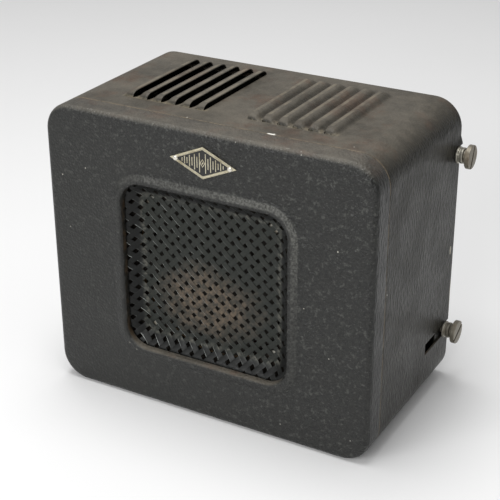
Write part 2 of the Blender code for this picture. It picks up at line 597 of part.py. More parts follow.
def clamp_screws():
    """Four slotted cheese-head screws with captive collars, threaded into nuts on the rear panel's flange."""
    half = CASE_W / 2
    for sx, sside in ((1, "right"), (-1, "left")):
        for zside, y, z, _ in SCREWS:
            tag = zside + "_" + sside
            c = (0, y, z)
            x0 = half + GAP
            x1 = x0 + COLLAR_T
            turned("clamp_collar_" + tag, "X", c, [
                (COLLAR_R - 0.5, sx * x0), (COLLAR_R, sx * (x0 + 0.4)), (COLLAR_R, sx * (x0 + 1.5)),
                (COLLAR_R - 0.9, sx * (x0 + 1.8)), (COLLAR_R - 0.9, sx * (x0 + 2.3)), (COLLAR_R - 0.3, sx * (x0 + 2.6)),
                (COLLAR_R - 0.3, sx * x1), (SHANK_R + 0.3, sx * x1), (SHANK_R + 0.3, sx * x0)],
                18, "nickel", closed=True)
            head0 = HEAD_X - HEAD_T
            screw = turned("clamp_screw_" + tag, "X", c, [
                (1.8, sx * 104.5), (SHANK_R, sx * 105.8), (SHANK_R, sx * (x1 + GAP)), (NECK_R, sx * (x1 + GAP)),
                (NECK_R, sx * (head0 - 0.4)), (NECK_R + 0.6, sx * head0), (HEAD_R - 0.4, sx * head0),
                (HEAD_R, sx * (head0 + 0.4)), (HEAD_R, sx * (HEAD_X - 0.5)), (HEAD_R - 0.6, sx * HEAD_X)],
                20, "nickel")
            bm = bmesh.new()
            xs = sorted((sx * (HEAD_X - 1.1), sx * (HEAD_X + 2.0)))
            boxed(bm, xs[0], xs[1], y - 0.8, y + 0.8, z - 12, z + 12)
            slot = finish_object("guide_slot_" + tag, bm, "nickel")
            cut(screw, slot)
            nut1 = half - SHEET - GAP - SHEET - GAP
            t0, t1 = sorted((sx * (nut1 - 4.5), sx * nut1))
            hexnut("clamp_nut_" + tag, "X", c, 4.8, 3.15, t0, t1)


clear_scene()
front_panel()
case_sleeve()
grille_mesh()
baffle_assembly()
badge()
driver()
transformer()
rear_panel()
clamp_screws()
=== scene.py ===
"""Looks of the boxed cabinet loudspeaker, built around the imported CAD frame.

Millimetres are used in the shapes below: x to the right, y back from the flat
front plate, z up from the floor.  P() turns them into the frame's metres.
"""

import math
import random

import bmesh
import bpy
import numpy as np
from mathutils import Matrix, Vector, noise


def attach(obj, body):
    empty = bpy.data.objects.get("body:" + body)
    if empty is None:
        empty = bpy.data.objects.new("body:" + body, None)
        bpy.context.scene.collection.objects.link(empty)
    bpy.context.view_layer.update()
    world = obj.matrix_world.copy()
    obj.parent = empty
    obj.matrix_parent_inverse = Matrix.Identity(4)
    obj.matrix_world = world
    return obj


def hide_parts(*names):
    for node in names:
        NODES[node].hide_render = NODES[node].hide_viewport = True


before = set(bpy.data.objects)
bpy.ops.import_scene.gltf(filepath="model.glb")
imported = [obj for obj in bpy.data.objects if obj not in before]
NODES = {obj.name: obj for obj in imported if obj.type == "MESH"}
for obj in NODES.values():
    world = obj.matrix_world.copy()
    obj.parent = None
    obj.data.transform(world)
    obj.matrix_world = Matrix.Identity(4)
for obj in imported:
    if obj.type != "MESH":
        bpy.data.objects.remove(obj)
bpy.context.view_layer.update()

MM = 0.001
Y_MID = 65.1
W, H, D, R = 232.0, 200.0, 128.0, 19.0
CZ = H / 2
SHEET = 1.2
EDGE = 4.0
PAN = 16.5
SEAM = 16.8
OW, OH, ORAD, OZ = 118.0, 116.0, 15.0, 98.5
LIP_Y = 2.6
# clamp screws: name, y, z and the closed end of the slot
SCREWS = (("lower", 120.5, 39.3, 87.5), ("upper", 123.4, 165.0, 120.0))
REAR_Y = 130.4
HY0_MM = 32.8
LOUVRE_X_MM = -1.9
BADGE_X, BADGE_Z = 1.7, 180.6
random.seed(7)


def P(x, y, z):
    return (x * MM, (y - Y_MID) * MM, z * MM)


# =====================================================================
# node helpers
# =====================================================================
class Tree:
    """Short names for the shader nodes used below."""

    def __init__(self, name):
        self.mat = bpy.data.materials.new(name)
        self.mat.use_nodes = True
        self.t = self.mat.node_tree
        self.bsdf = self.t.nodes["Principled BSDF"]
        self.coord = self.t.nodes.new("ShaderNodeTexCoord").outputs["Object"]
        self.geo = self.t.nodes.new("ShaderNodeNewGeometry")

    def link(self, src, dst):
        if isinstance(src, (int, float)):
            dst.default_value = src
        elif isinstance(src, (tuple, list)):
            dst.default_value = (*src, 1.0) if len(src) == 3 and dst.type == "RGBA" else src
        else:
            self.t.links.new(src, dst)

    def math(self, op, a, b=0.0, c=None, clamp=False):
        n = self.t.nodes.new("ShaderNodeMath")
        n.operation = op
        n.use_clamp = clamp
        self.link(a, n.inputs[0])
        self.link(b, n.inputs[1])
        if c is not None:
            self.link(c, n.inputs[2])
        return n.outputs[0]

    def vmath(self, op, a, b=(0, 0, 0)):
        n = self.t.nodes.new("ShaderNodeVectorMath")
        n.operation = op
        self.link(a, n.inputs[0])
        self.link(b, n.inputs[1])
        return n.outputs["Value"] if op in ("LENGTH", "DISTANCE", "DOT_PRODUCT") else n.outputs["Vector"]

    def scaled(self, scale=(1, 1, 1), loc=(0, 0, 0), rot=(0, 0, 0), vec=None):
        n = self.t.nodes.new("ShaderNodeMapping")
        self.link(vec or self.coord, n.inputs["Vector"])
        n.inputs["Scale"].default_value = scale
        n.inputs["Location"].default_value = loc
        n.inputs["Rotation"].default_value = rot
        return n.outputs[0]

    def noise(self, scale, detail=3.0, rough=0.55, vec=None, distortion=0.0):
        n = self.t.nodes.new("ShaderNodeTexNoise")
        self.link(vec or self.coord, n.inputs["Vector"])
        n.inputs["Scale"].default_value = scale
        n.inputs["Detail"].default_value = detail
        n.inputs["Roughness"].default_value = rough
        n.inputs["Distortion"].default_value = distortion
        return n.outputs["Fac"]

    def voronoi(self, scale, vec=None, feature="F1", smooth=0.6, rnd=1.0):
        n = self.t.nodes.new("ShaderNodeTexVoronoi")
        n.feature = feature
        self.link(vec or self.coord, n.inputs["Vector"])
        n.inputs["Scale"].default_value = scale
        n.inputs["Randomness"].default_value = rnd
        if feature == "SMOOTH_F1":
            n.inputs["Smoothness"].default_value = smooth
        return n.outputs["Distance"]

    def wave(self, scale, distortion=1.0, detail=2.0, direction="X", vec=None):
        n = self.t.nodes.new("ShaderNodeTexWave")
        n.bands_direction = direction
        self.link(vec or self.coord, n.inputs["Vector"])
        n.inputs["Scale"].default_value = scale
        n.inputs["Distortion"].default_value = distortion
        n.inputs["Detail"].default_value = detail
        return n.outputs["Fac"]

    def span(self, value, a, b, lo=0.0, hi=1.0, smooth=True):
        """value mapped from a..b to lo..hi, clamped."""
        n = self.t.nodes.new("ShaderNodeMapRange")
        n.interpolation_type = "SMOOTHSTEP" if smooth else "LINEAR"
        n.clamp = True
        self.link(value, n.inputs["Value"])
        n.inputs["From Min"].default_value = a
        n.inputs["From Max"].default_value = b
        n.inputs["To Min"].default_value = lo
        n.inputs["To Max"].default_value = hi
        return n.outputs["Result"]

    def mix(self, fac, a, b, mode="MIX"):
        n = self.t.nodes.new("ShaderNodeMix")
        n.data_type = "RGBA"
        n.blend_type = mode
        self.link(fac, n.inputs[0])
        self.link(a, n.inputs[6])
        self.link(b, n.inputs[7])
        return n.outputs[2]

    def ramp(self, fac, stops):
        n = self.t.nodes.new("ShaderNodeValToRGB")
        self.link(fac, n.inputs[0])
        e = n.color_ramp.elements
        while len(e) < len(stops):
            e.new(0.5)
        for k, (pos, col) in enumerate(stops):
            e[k].position = pos
            e[k].color = (*col, 1.0)
        return n.outputs["Color"]

    def xyz(self, vec):
        n = self.t.nodes.new("ShaderNodeSeparateXYZ")
        self.link(vec, n.inputs[0])
        return n.outputs

    def bump(self, height, strength=0.5, distance=0.0005, normal=None):
        n = self.t.nodes.new("ShaderNodeBump")
        self.link(height, n.inputs["Height"])
        n.inputs["Strength"].default_value = strength
        n.inputs["Distance"].default_value = distance
        if normal is not None:
            self.link(normal, n.inputs["Normal"])
        return n.outputs[0]

    def out(self, colour=None, rough=None, metal=None, normal=None, **fixed):
        for key, v in (("Base Color", colour), ("Roughness", rough), ("Metallic", metal), ("Normal", normal)):
            if v is not None:
                self.link(v, self.bsdf.inputs[key])
        for key, v in fixed.items():
            self.bsdf.inputs[key.replace("_", " ")].default_value = v
        return self.mat

    def spot(self, x, y, z, radius, soft=0.4, squeeze=(1, 1, 1)):
        """1 inside a small blob about a point in millimetres, 0 outside."""
        c = Vector(P(x, y, z))
        v = self.vmath("SUBTRACT", self.coord, tuple(c))
        v = self.vmath("MULTIPLY", v, squeeze)
        d = self.vmath("LENGTH", v)
        d = self.math("ADD", d, self.math("MULTIPLY", self.math("SUBTRACT", self.speck_noise, 0.5), radius * MM * 0.9))
        return self.span(d, radius * MM, radius * MM * (1 - soft))

    @property
    def speck_noise(self):
        if not hasattr(self, "_speck"):
            self._speck = self.noise(900, 2.0)
        return self._speck


def lin(r, g, b):
    """sRGB 0..255 to linear."""
    return tuple(((c / 255 + 0.055) / 1.055) ** 2.4 if c > 10 else c / 255 / 12.92 for c in (r, g, b))


# =====================================================================
# materials
# =====================================================================
def case_paint(name, part):
    """Dark stoved wrinkle paint.  part is 'front' or 'sleeve' (which has the dusty top and streaked sides)."""
    t = Tree(name)
    x, y, z = t.xyz(t.coord)
    nx, ny, nz = t.xyz(t.geo.outputs["Normal"])
    up = t.span(nz, 0.35, 0.95)
    side = t.span(t.math("ABSOLUTE", nx), 0.6, 0.95)

    big = t.noise(11, 3.0, 0.55)
    mid = t.noise(45, 4.0, 0.6)
    fine = t.noise(520, 2.0, 0.6)

    # wrinkle relief: pebbled cells, drawn out up and down on the sides
    cell = t.voronoi(640, feature="SMOOTH_F1", smooth=0.75, vec=t.scaled((1, 1, 1)))
    pebble = t.math("ADD", t.math("MULTIPLY", cell, 0.8), t.math("MULTIPLY", t.noise(980, 3.0, 0.6), 0.45))
    streak_vec = t.scaled((1.0, 1.0, 0.30), rot=(0.12, 0, 0))
    streak = t.math("ADD", t.math("MULTIPLY", t.voronoi(720, vec=streak_vec, feature="SMOOTH_F1", smooth=0.7), 0.7),
                    t.math("MULTIPLY", t.noise(620, 3.0, 0.6, vec=streak_vec), 0.7))
    relief = t.math("ADD", t.math("MULTIPLY", pebble, t.math("SUBTRACT", 1.0, side)), t.math("MULTIPLY", streak, side))

    if part == "front":
        base = t.mix(big, lin(26, 27, 25), lin(32, 33, 30))
        base = t.mix(t.span(mid, 0.52, 0.8, 0, 0.35), base, lin(42, 40, 37))
        # handled, darker patch low on the left
        rub = t.math("MULTIPLY", t.span(x, -0.070, -0.098), t.span(z, 0.115, 0.03))
        base = t.mix(t.math("MULTIPLY", rub, 0.35), base, lin(24, 24, 23))
        grain = t.span(t.noise(430, 2.0, 0.55), 0.38, 0.62, 0.0, 1.0, False)
        amount = t.span(t.math("ADD", x, t.math("MULTIPLY", z, 0.55)), -0.08, 0.08, 0.35, 1.0)
        base = t.mix(t.math("MULTIPLY", t.math("MULTIPLY", t.math("SUBTRACT", 1.0, grain), amount), 0.85), base, lin(13, 13, 12))
        base = t.mix(t.math("MULTIPLY", t.math("MULTIPLY", t.span(t.noise(390, 2.0, 0.6), 0.56, 0.70), amount), 0.60), base, lin(72, 73, 69))
        strength = t.span(t.math("ADD", x, t.math("MULTIPLY", z, 0.55)), -0.08, 0.10, 0.45, 0.95)
    else:
        base = t.mix(big, lin(31, 30, 23), lin(36, 35, 27))
        base = t.mix(t.math("MULTIPLY", t.span(streak, 0.4, 0.85), 0.7), base, lin(17, 16, 13))
        base = t.mix(t.math("MULTIPLY", t.span(t.noise(520, 2.0, 0.6, vec=t.scaled((1.0, 1.0, 0.45), rot=(0.12, 0, 0))), 0.55, 0.70), 0.4), base, lin(70, 68, 58))
        strength = t.span(side, 0, 1, 0.45, 0.9)

    # dust lying on what faces up, brown-grey and blotchy
    dust_n = t.math("ADD", t.math("MULTIPLY", t.noise(24, 5.0, 0.62), 0.7), t.math("MULTIPLY", t.noise(150, 3.0, 0.6), 0.35))
    dust = t.math("MULTIPLY", up, t.span(dust_n, 0.30, 0.72, 0.35, 0.92))
    dust_col = t.mix(t.noise(38, 3.0), lin(90, 86, 78), lin(106, 99, 88))
    dust_col = t.mix(t.span(t.noise(42, 4.0, 0.65), 0.50, 0.70, 0, 0.6), dust_col, lin(98, 76, 62))
    base = t.mix(dust, base, dust_col)

    # fine light speckle caught in the wrinkle
    speck = t.span(t.noise(1500, 1.0, 0.5), 0.66, 0.76)
    base = t.mix(t.math("MULTIPLY", speck, 0.13), base, lin(140, 136, 126))

    # tired edges by the seam between pan and sleeve
    seam_d = t.math("ABSOLUTE", t.math("SUBTRACT", y, (16.65 - Y_MID) * MM))
    seam_n = t.noise(85, 4.0, 0.7)
    seam = t.math("MULTIPLY", t.span(seam_d, 0.0009, 0.0003), t.span(seam_n, 0.40, 0.58, 0.25, 1.0))
    base = t.mix(t.math("MULTIPLY", seam, 0.8), base, lin(118, 106, 88))

    wear = None
    if part == "front":
        # painted highlight: the rounding along the top of the pan is lightened and carries bright speckle, standing in
        # for light caught there
        ridge = t.math("MULTIPLY", t.span(ny, -0.15, -0.45), t.span(nz, 0.25, 0.6))
        ridge = t.math("MULTIPLY", ridge, t.span(z, 0.190, 0.196))
        ridge_highlight_flecks = t.math("MULTIPLY", ridge, t.span(t.noise(900, 2.0, 0.6), 0.60, 0.72))
        base = t.mix(t.math("MULTIPLY", ridge, 0.18), base, lin(110, 108, 102))
        base = t.mix(t.math("MULTIPLY", ridge_highlight_flecks, 0.35), base, lin(170, 168, 160))
        # painted highlight: the raised bead is lightened on its upper and right-hand slopes, where light falls on it
        near = t.math("MULTIPLY", t.span(y, (-0.10 - Y_MID) * MM, (-0.55 - Y_MID) * MM), t.span(ny, -0.25, -0.5))
        top_s = t.math("MULTIPLY", t.span(nz, 0.02, 0.34), t.span(z, 0.150, 0.156))
        right_s = t.math("MULTIPLY", t.math("MULTIPLY", t.span(nx, 0.02, 0.34), t.span(x, 0.050, 0.056)), t.span(z, 0.075, 0.150, 0.25, 1.0))
        bead_highlight = t.math("MULTIPLY", near, t.math("MAXIMUM", t.math("MULTIPLY", top_s, t.span(x, -0.06, 0.04, 0.45, 1.0)), right_s))
        bead_highlight = t.math("MULTIPLY", bead_highlight, t.span(t.noise(620, 3.0, 0.65), 0.38, 0.62, 0.25, 1.0))
        base = t.mix(t.math("MULTIPLY", bead_highlight, 0.75), base, lin(98, 98, 93))
        # brown edge where the lip has rusted, worst on the left
        lipd = t.math("MULTIPLY", t.span(t.math("ABSOLUTE", x), 0.0602, 0.0594), t.span(t.math("ABSOLUTE", t.math("SUBTRACT", z, 0.0985)), 0.0592, 0.0584))
        lipd = t.math("MULTIPLY", lipd, t.span(y, (-1.1 - Y_MID) * MM, (0.3 - Y_MID) * MM))
        lipd = t.math("MULTIPLY", lipd, t.span(x, -0.050, -0.0575, 0.05, 1.0))
        base = t.mix(t.math("MULTIPLY", lipd, t.span(t.noise(120, 4.0, 0.65), 0.42, 0.62, 0.05, 0.6)), base, lin(78, 62, 44))
    else:
        # louvre crests lightened, partly wear and partly painted highlight where the crests face the light; and dust in
        # the corners at their feet
        crest = t.math("MULTIPLY", t.span(z, 0.20350, 0.20358), t.span(t.noise(95, 4.0, 0.7), 0.36, 0.60, 0.25, 1.0))
        base = t.mix(t.math("MULTIPLY", crest, 0.55), base, lin(126, 118, 102))
        foot = t.math("MULTIPLY", t.span(y, (HY0_MM - 1.4 - Y_MID) * MM, (HY0_MM + 0.2 - Y_MID) * MM), t.span(y, (HY0_MM + 5.5 - Y_MID) * MM, (HY0_MM + 2.5 - Y_MID) * MM))
        foot = t.math("MULTIPLY", foot, t.math("MULTIPLY", t.span(z, 0.2016, 0.2003), t.span(z, 0.1995, 0.1999)))
        mid_x = t.math("ABSOLUTE", t.math("SUBTRACT", x, LOUVRE_X_MM * MM))
        foot = t.math("MULTIPLY", foot, t.math("MULTIPLY", t.span(mid_x, 0.0125, 0.0145), t.span(mid_x, 0.077, 0.075)))
        base = t.mix(t.math("MULTIPLY", foot, t.span(t.noise(170, 4.0, 0.7), 0.40, 0.62, 0.1, 0.6)), base, lin(126, 117, 98))
        # darker soft patch on the paint round each collar
        for cy, cz_ in ((120.5, 39.3), (123.4, 165.0)):
            collar_patch = t.spot(116, cy - 3.0, cz_ + 1.0, 11.5, 0.75, (1, 0.9, 1))
            base = t.mix(t.math("MULTIPLY", collar_patch, 0.6), base, lin(26, 25, 23))
        # bare metal along the rear edge on the right
        edge = t.span(y, (126.2 - Y_MID) * MM, (127.6 - Y_MID) * MM)
        band = t.math("MULTIPLY", t.span(z, 0.050, 0.057), t.span(z, 0.078, 0.070))
        wear = t.math("MULTIPLY", t.math("MULTIPLY", edge, band), t.span(x, 0.10, 0.11))
        wear = t.math("MULTIPLY", wear, t.span(t.noise(160, 3.0), 0.34, 0.44))
        wear = t.math("MULTIPLY", wear, t.span(nx, 0.2, 0.5))
        patch = t.spot(116, 122.5, 97.5, 2.1, 0.3, (1, 1.5, 0.62))
        wear = t.math("MAXIMUM", wear, patch)

    spots = SPECKS[part]
    chips = None
    for sx, sy, sz, r in spots:
        s = t.spot(sx, sy, sz, r, 0.5)
        chips = s if chips is None else t.math("MAXIMUM", chips, s)
    base = t.mix(t.math("MULTIPLY", chips, 0.85), base, lin(190, 187, 176))
    # one long white chip across the seam on top
    c = t.vmath("SUBTRACT", t.coord, P(38.6, 17.4, 200))
    c = t.vmath("MULTIPLY", c, (0.24, 1.0, 0.4))
    c = t.math("ADD", t.vmath("LENGTH", c), t.math("MULTIPLY", t.math("SUBTRACT", t.speck_noise, 0.5), 0.0007))
    base = t.mix(t.span(c, 0.00085, 0.0005), base, lin(225, 222, 214))
    metal = 0.0
    if wear is not None:
        base = t.mix(wear, base, lin(168, 163, 148))
        metal = t.math("MULTIPLY", wear, 0.55)

    rough = t.span(mid, 0.3, 0.7, 0.34, 0.46)
    rough = t.math("ADD", rough, t.math("MULTIPLY", dust, 0.28))
    rough = t.math("ADD", rough, t.math("MULTIPLY", t.math("SUBTRACT", fine, 0.5), 0.16), clamp=True)
    b1 = t.t.nodes.new("ShaderNodeBump")
    b1.inputs["Distance"].default_value = 0.0009
    t.link(strength, b1.inputs["Strength"])
    t.link(relief, b1.inputs["Height"])
    n2 = t.bump(t.noise(70, 3.0, 0.5), 0.10, 0.0012, b1.outputs[0])
    t.bsdf.inputs["Specular IOR Level"].default_value = 0.40 if part == "front" else 0.28
    return t.out(base, rough, metal, n2)


# small paint chips: x, y, z in mm and radius
SPECKS = {
    "front": [(67.0, 0.8, 198, 0.55), (98.0, 1.0, 197.5, 0.5), (14.0, 1.0, 197.6, 0.5), (24.0, 0.8, 197.8, 0.6), (33.0, 1.0, 197.5, 0.5),
              (-104.5, 0, 152, 0.5), (-86.0, 0, 160, 0.6), (-101, 0, 116, 0.4), (-87, 0.4, 199, 0.5), (55.0, 0, 12.5, 0.5),
              (104, 0, 16, 0.45), (70.5, 0, 100, 0.45), (92, 0, 143, 0.7), (88, 0, 70, 0.45), (-57.5, -1.9, 41.5, 0.7),
              (-52, -1.6, 38.0, 0.5), (21, 0.2, 180, 0.4)],
    "sleeve": [(112, 60, 198, 0.6), (40, 18.4, 200, 0.7), (-20, 17.8, 200, 0.6), (116, 19, 112, 0.7), (116, 60, 150, 0.5),
               (116, 44, 60, 0.45), (90, 22.0, 200, 0.5)],
}


def strip_metal(name, crown_highlight):
    """Flat woven strip: blackened steel with painted highlight on its crowns and painted shade on the tray's sloping
    border, dust and rust low in the middle.
    """
    t = Tree(name)
    x, y, z = t.xyz(t.coord)
    n_mid = t.noise(130, 4.0, 0.6)
    n_fine = t.noise(900, 3.0, 0.6)
    base = t.mix(n_mid, lin(25, 28, 26), lin(43, 46, 41))
    base = t.mix(t.span(n_fine, 0.5, 0.75, 0, 0.4), base, lin(66, 66, 61))
    # painted highlight: what stands proud of the tray is lighter, as if catching the light
    crown = t.span(y, (9.50 - Y_MID) * MM, (9.20 - Y_MID) * MM)
    crown = t.math("MULTIPLY", crown, t.span(t.noise(330, 3.0), 0.4, 0.62))
    flat_part = t.math("MULTIPLY", t.span(t.math("ABSOLUTE", x), 0.0525, 0.050), t.span(t.math("ABSOLUTE", t.math("SUBTRACT", z, 0.0985)), 0.0515, 0.049))
    crown = t.math("MULTIPLY", crown, flat_part)
    base = t.mix(t.math("MULTIPLY", crown, crown_highlight), base, lin(104, 102, 94))
    # painted shade: the sloping border of the tray is darkened
    base = t.mix(t.span(y, (9.0 - Y_MID) * MM, (7.6 - Y_MID) * MM, 0.0, 0.85), base, lin(10, 11, 11))
    # rust and dust patch
    dx = t.math("DIVIDE", t.math("ADD", x, 0.003), 0.036)
    dz = t.math("DIVIDE", t.math("SUBTRACT", z, 0.080), 0.024)
    rr = t.math("SQRT", t.math("ADD", t.math("MULTIPLY", dx, dx), t.math("MULTIPLY", dz, dz)))
    rr = t.math("ADD", rr, t.math("MULTIPLY", t.math("SUBTRACT", t.noise(70, 4.0, 0.7), 0.5), 1.3))
    rust = t.math("MULTIPLY", t.span(rr, 1.25, 0.45), t.span(t.noise(330, 4.0, 0.7), 0.36, 0.64, 0.15, 1.0))
    rust_col = t.mix(t.noise(420, 3.0), lin(66, 55, 44), lin(118, 102, 84))
    base = t.mix(t.math("MULTIPLY", rust, 0.8), base, rust_col)
    bright = t.spot(-23.8, 9.3, 122.0, 0.8, 0.5)
    base = t.mix(bright, base, lin(190, 188, 180))
    rough = t.span(n_mid, 0.3, 0.7, 0.34, 0.55)
    rough = t.math("ADD", rough, t.math("MULTIPLY", rust, 0.35), clamp=True)
    metal = t.math("MULTIPLY", t.math("SUBTRACT", 1.0, rust), 0.55)
    h = t.math("ADD", t.math("MULTIPLY", n_fine, 0.6), t.math("MULTIPLY", t.noise(2200, 2.0), 0.4))
    return t.out(base, rough, metal, t.bump(h, 0.4, 0.00015))


def painted_edge_highlight(name):
    """Painted highlight along the lower edge of the strips that run down to the right, in patches, strongest to the
    left.
    """
    t = Tree(name)
    x, y, z = t.xyz(t.coord)
    patchy = t.span(t.noise(60, 4.0, 0.7), 0.42, 0.62)
    patchy = t.math("MULTIPLY", patchy, t.span(x, 0.045, -0.045, 0.12, 1.0))
    base = t.mix(patchy, lin(46, 48, 47), lin(176, 180, 176))
    return t.out(base, 0.38, 0.35, t.bump(t.noise(2200, 2.0), 0.3, 0.0001))


def tarnished(name, light, dark, brown, metal=0.85, rough=(0.30, 0.5), scale=260, bump=0.25):
    """Plated or bare metal with tarnish."""
    t = Tree(name)
    n = t.noise(scale, 5.0, 0.65)
    n2 = t.noise(scale * 0.3, 3.0, 0.6)
    base = t.mix(n, dark, light)
    tarnish = t.span(n2, 0.45, 0.75)
    base = t.mix(t.math("MULTIPLY", tarnish, 0.75), base, brown)
    r = t.span(n, 0.3, 0.7, rough[0], rough[1])
    r = t.math("ADD", r, t.math("MULTIPLY", tarnish, 0.15), clamp=True)
    h = t.math("ADD", t.math("MULTIPLY", n, 0.5), t.math("MULTIPLY", t.noise(scale * 6, 2.0), 0.5))
    return t.out(base, r, metal, t.bump(h, bump, 0.00012))


def screw_metal(name):
    """Tarnished nickel with brown dirt in the head's slot."""
    t = Tree(name)
    x, y, z = t.xyz(t.coord)
    n = t.noise(240, 5.0, 0.65)
    base = t.mix(n, lin(96, 91, 80), lin(150, 144, 130))
    base = t.mix(t.math("MULTIPLY", t.span(t.noise(90, 3.0, 0.6), 0.45, 0.7), 0.7), base, lin(104, 90, 70))
    ax = t.math("ABSOLUTE", x)
    deep = t.math("MULTIPLY", t.span(ax, 0.12620, 0.12600), t.span(ax, 0.12470, 0.12490))
    dirt = 0.0
    for _, yc, zc, _ in SCREWS:
        dy = t.math("SUBTRACT", y, (yc - Y_MID) * MM)
        dz = t.math("SUBTRACT", z, zc * MM)
        r = t.math("SQRT", t.math("ADD", t.math("MULTIPLY", dy, dy), t.math("MULTIPLY", dz, dz)))
        dirt = t.math("MAXIMUM", dirt, t.span(r, 0.0073, 0.0070))
    dirt = t.math("MULTIPLY", deep, dirt)
    base = t.mix(t.math("MULTIPLY", dirt, 0.9), base, lin(58, 44, 30))
    rough = t.math("ADD", t.span(n, 0.3, 0.7, 0.36, 0.54), t.math("MULTIPLY", dirt, 0.3), clamp=True)
    metal = t.math("MULTIPLY", t.math("SUBTRACT", 1.0, dirt), 0.45)
    h = t.math("ADD", t.math("MULTIPLY", n, 0.5), t.math("MULTIPLY", t.noise(1500, 2.0), 0.5))
    return t.out(base, rough, metal, t.bump(h, 0.3, 0.00012))


def fibrous(name, a, b, scale=60, rough=(0.75, 0.92), stretch=(1, 1, 1), bump=0.4, dist=0.0002):
    """Board, card, paper and waxed paper."""
    t = Tree(name)
    vec = t.scaled(stretch)
    n = t.noise(scale, 6.0, 0.65, vec=vec)
    fib = t.noise(scale * 14, 3.0, 0.7, vec=vec)
    base = t.mix(n, a, b)
    base = t.mix(t.span(fib, 0.5, 0.8, 0, 0.4), base, tuple(min(1.0, c * 1.6) for c in b))
    return t.out(base, t.span(n, 0.3, 0.7, *rough), 0.0, t.bump(fib, bump, dist))


def plain_paint(name, a, b, rough=(0.35, 0.5), metal=0.0, scale=90, bump=0.15):
    t = Tree(name)
    n = t.noise(scale, 4.0, 0.6)
    base = t.mix(n, a, b)
    dust = t.math("MULTIPLY", t.span(t.xyz(t.geo.outputs["Normal"])[2], 0.4, 0.95), t.span(t.noise(50, 4.0), 0.35, 0.6, 0.2, 0.7))
    base = t.mix(dust, base, lin(104, 97, 86))
    r = t.math("ADD", t.span(n, 0.3, 0.7, *rough), t.math("MULTIPLY", dust, 0.3), clamp=True)
    return t.out(base, r, metal, t.bump(t.noise(1200, 2.0), bump, 0.0001))


def wound(name, a, b, axis, turns_per_m, metal=0.9, rough=0.35):
    """Fine wire laid side by side."""
    t = Tree(name)
    w = t.wave(turns_per_m / 6.283, 0.3, 1.0, axis)
    n = t.noise(200, 3.0)
    base = t.mix(w, a, b)
    base = t.mix(t.span(n, 0.5, 0.8, 0, 0.4), base, a)
    return t.out(base, t.span(n, 0.3, 0.7, rough, rough + 0.15), metal, t.bump(w, 0.6, 0.0002))


def laminated(name):
    t = Tree(name)
    w = t.wave(2400 / 6.283, 0.6, 2.0, "Y")
    n = t.noise(140, 4.0)
    base = t.mix(w, lin(44, 44, 46), lin(96, 94, 92))
    base = t.mix(t.span(n, 0.5, 0.75, 0, 0.6), base, lin(96, 68, 48))
    return t.out(base, t.span(n, 0.3, 0.7, 0.45, 0.7), 0.7, t.bump(w, 0.5, 0.0002))


def enamel(name):
    t = Tree(name)
    n = t.noise(260, 4.0, 0.6)
    base = t.mix(n, lin(8, 8, 8), lin(16, 15, 14))
    scuff = t.span(t.noise(1300, 3.0, 0.7), 0.60, 0.74)
    base = t.mix(t.math("MULTIPLY", scuff, 0.25), base, lin(88, 84, 76))
    return t.out(base, t.span(n, 0.3, 0.7, 0.22, 0.42), 0.0, t.bump(t.noise(1100, 2.0), 0.15, 0.0001))


MAT = {
    "front": case_paint("front_paint", "front"),
    "sleeve": case_paint("sleeve_paint", "sleeve"),
    # the two strip families differ only in how strong the painted highlight on their crowns is
    "strip_a": strip_metal("strip_steel_a", 0.55),
    "strip_b": strip_metal("strip_steel_b", 0.25),
    "strip_edge": painted_edge_highlight("strip_rubbed_edge"),
    "screw": screw_metal("tarnished_nickel"),
    "collar": tarnished("collar_nickel", lin(196, 192, 180), lin(132, 128, 116), lin(104, 96, 80), 0.7, (0.28, 0.46), 260, 0.25),
    "badge": tarnished("badge_nickel_silver", lin(216, 210, 188), lin(168, 160, 136), lin(142, 130, 98), 0.45, (0.30, 0.46), 420, 0.2),
    "rivet": tarnished("rivet_nickel", lin(235, 232, 222), lin(196, 190, 176), lin(160, 150, 128), 0.6, (0.18, 0.32), 500, 0.15),
    "enamel": enamel("badge_enamel"),
    "zinc": tarnished("zinc_plate", lin(170, 168, 160), lin(116, 114, 106), lin(112, 96, 70), 0.85, (0.35, 0.6), 180, 0.3),
    "board": fibrous("composition_board", lin(30, 25, 20), lin(46, 38, 30), 40, (0.78, 0.92)),
    "card": fibrous("pressed_card", lin(104, 84, 58), lin(140, 116, 84), 70),
    "cone": fibrous("cone_paper", lin(40, 38, 36), lin(62, 58, 52), 80, (0.85, 0.97), (1, 1, 1), 0.7, 0.0003),
    "basket": plain_paint("basket_grey", lin(96, 100, 96), lin(118, 120, 114)),
    "iron": tarnished("soft_iron", lin(140, 138, 134), lin(94, 92, 88), lin(104, 78, 54), 0.8, (0.4, 0.62), 120, 0.35),
    "magnet": tarnished("magnet_alloy", lin(104, 104, 106), lin(70, 70, 72), lin(78, 66, 54), 0.7, (0.45, 0.66), 160, 0.4),
    "copper": wound("enamelled_copper", lin(120, 58, 26), lin(176, 92, 44), "Y", 12000),
    "brass": tarnished("tinned_brass", lin(196, 168, 104), lin(140, 112, 62), lin(104, 80, 48), 0.9, (0.28, 0.46), 260, 0.25),
    "paxolin": fibrous("paxolin", lin(70, 34, 18), lin(98, 50, 26), 50, (0.35, 0.5), (1, 1, 1), 0.15, 0.0001),
    "wax": fibrous("waxed_paper", lin(150, 116, 62), lin(176, 142, 84), 40, (0.42, 0.58), (1, 1, 0.2), 0.35, 0.0003),
    "rubber": fibrous("rubber", lin(26, 26, 26), lin(42, 41, 39), 90, (0.6, 0.8), (1, 1, 1), 0.25, 0.0002),
    "lead_r": fibrous("cotton_lead_red", lin(122, 30, 24), lin(150, 48, 38), 300, (0.7, 0.9), (1, 1, 1), 0.6, 0.0003),
    "lead_b": fibrous("cotton_lead_black", lin(24, 24, 26), lin(46, 45, 44), 300, (0.7, 0.9), (1, 1, 1), 0.6, 0.0003),
    "lamination": laminated("core_laminations"),
}


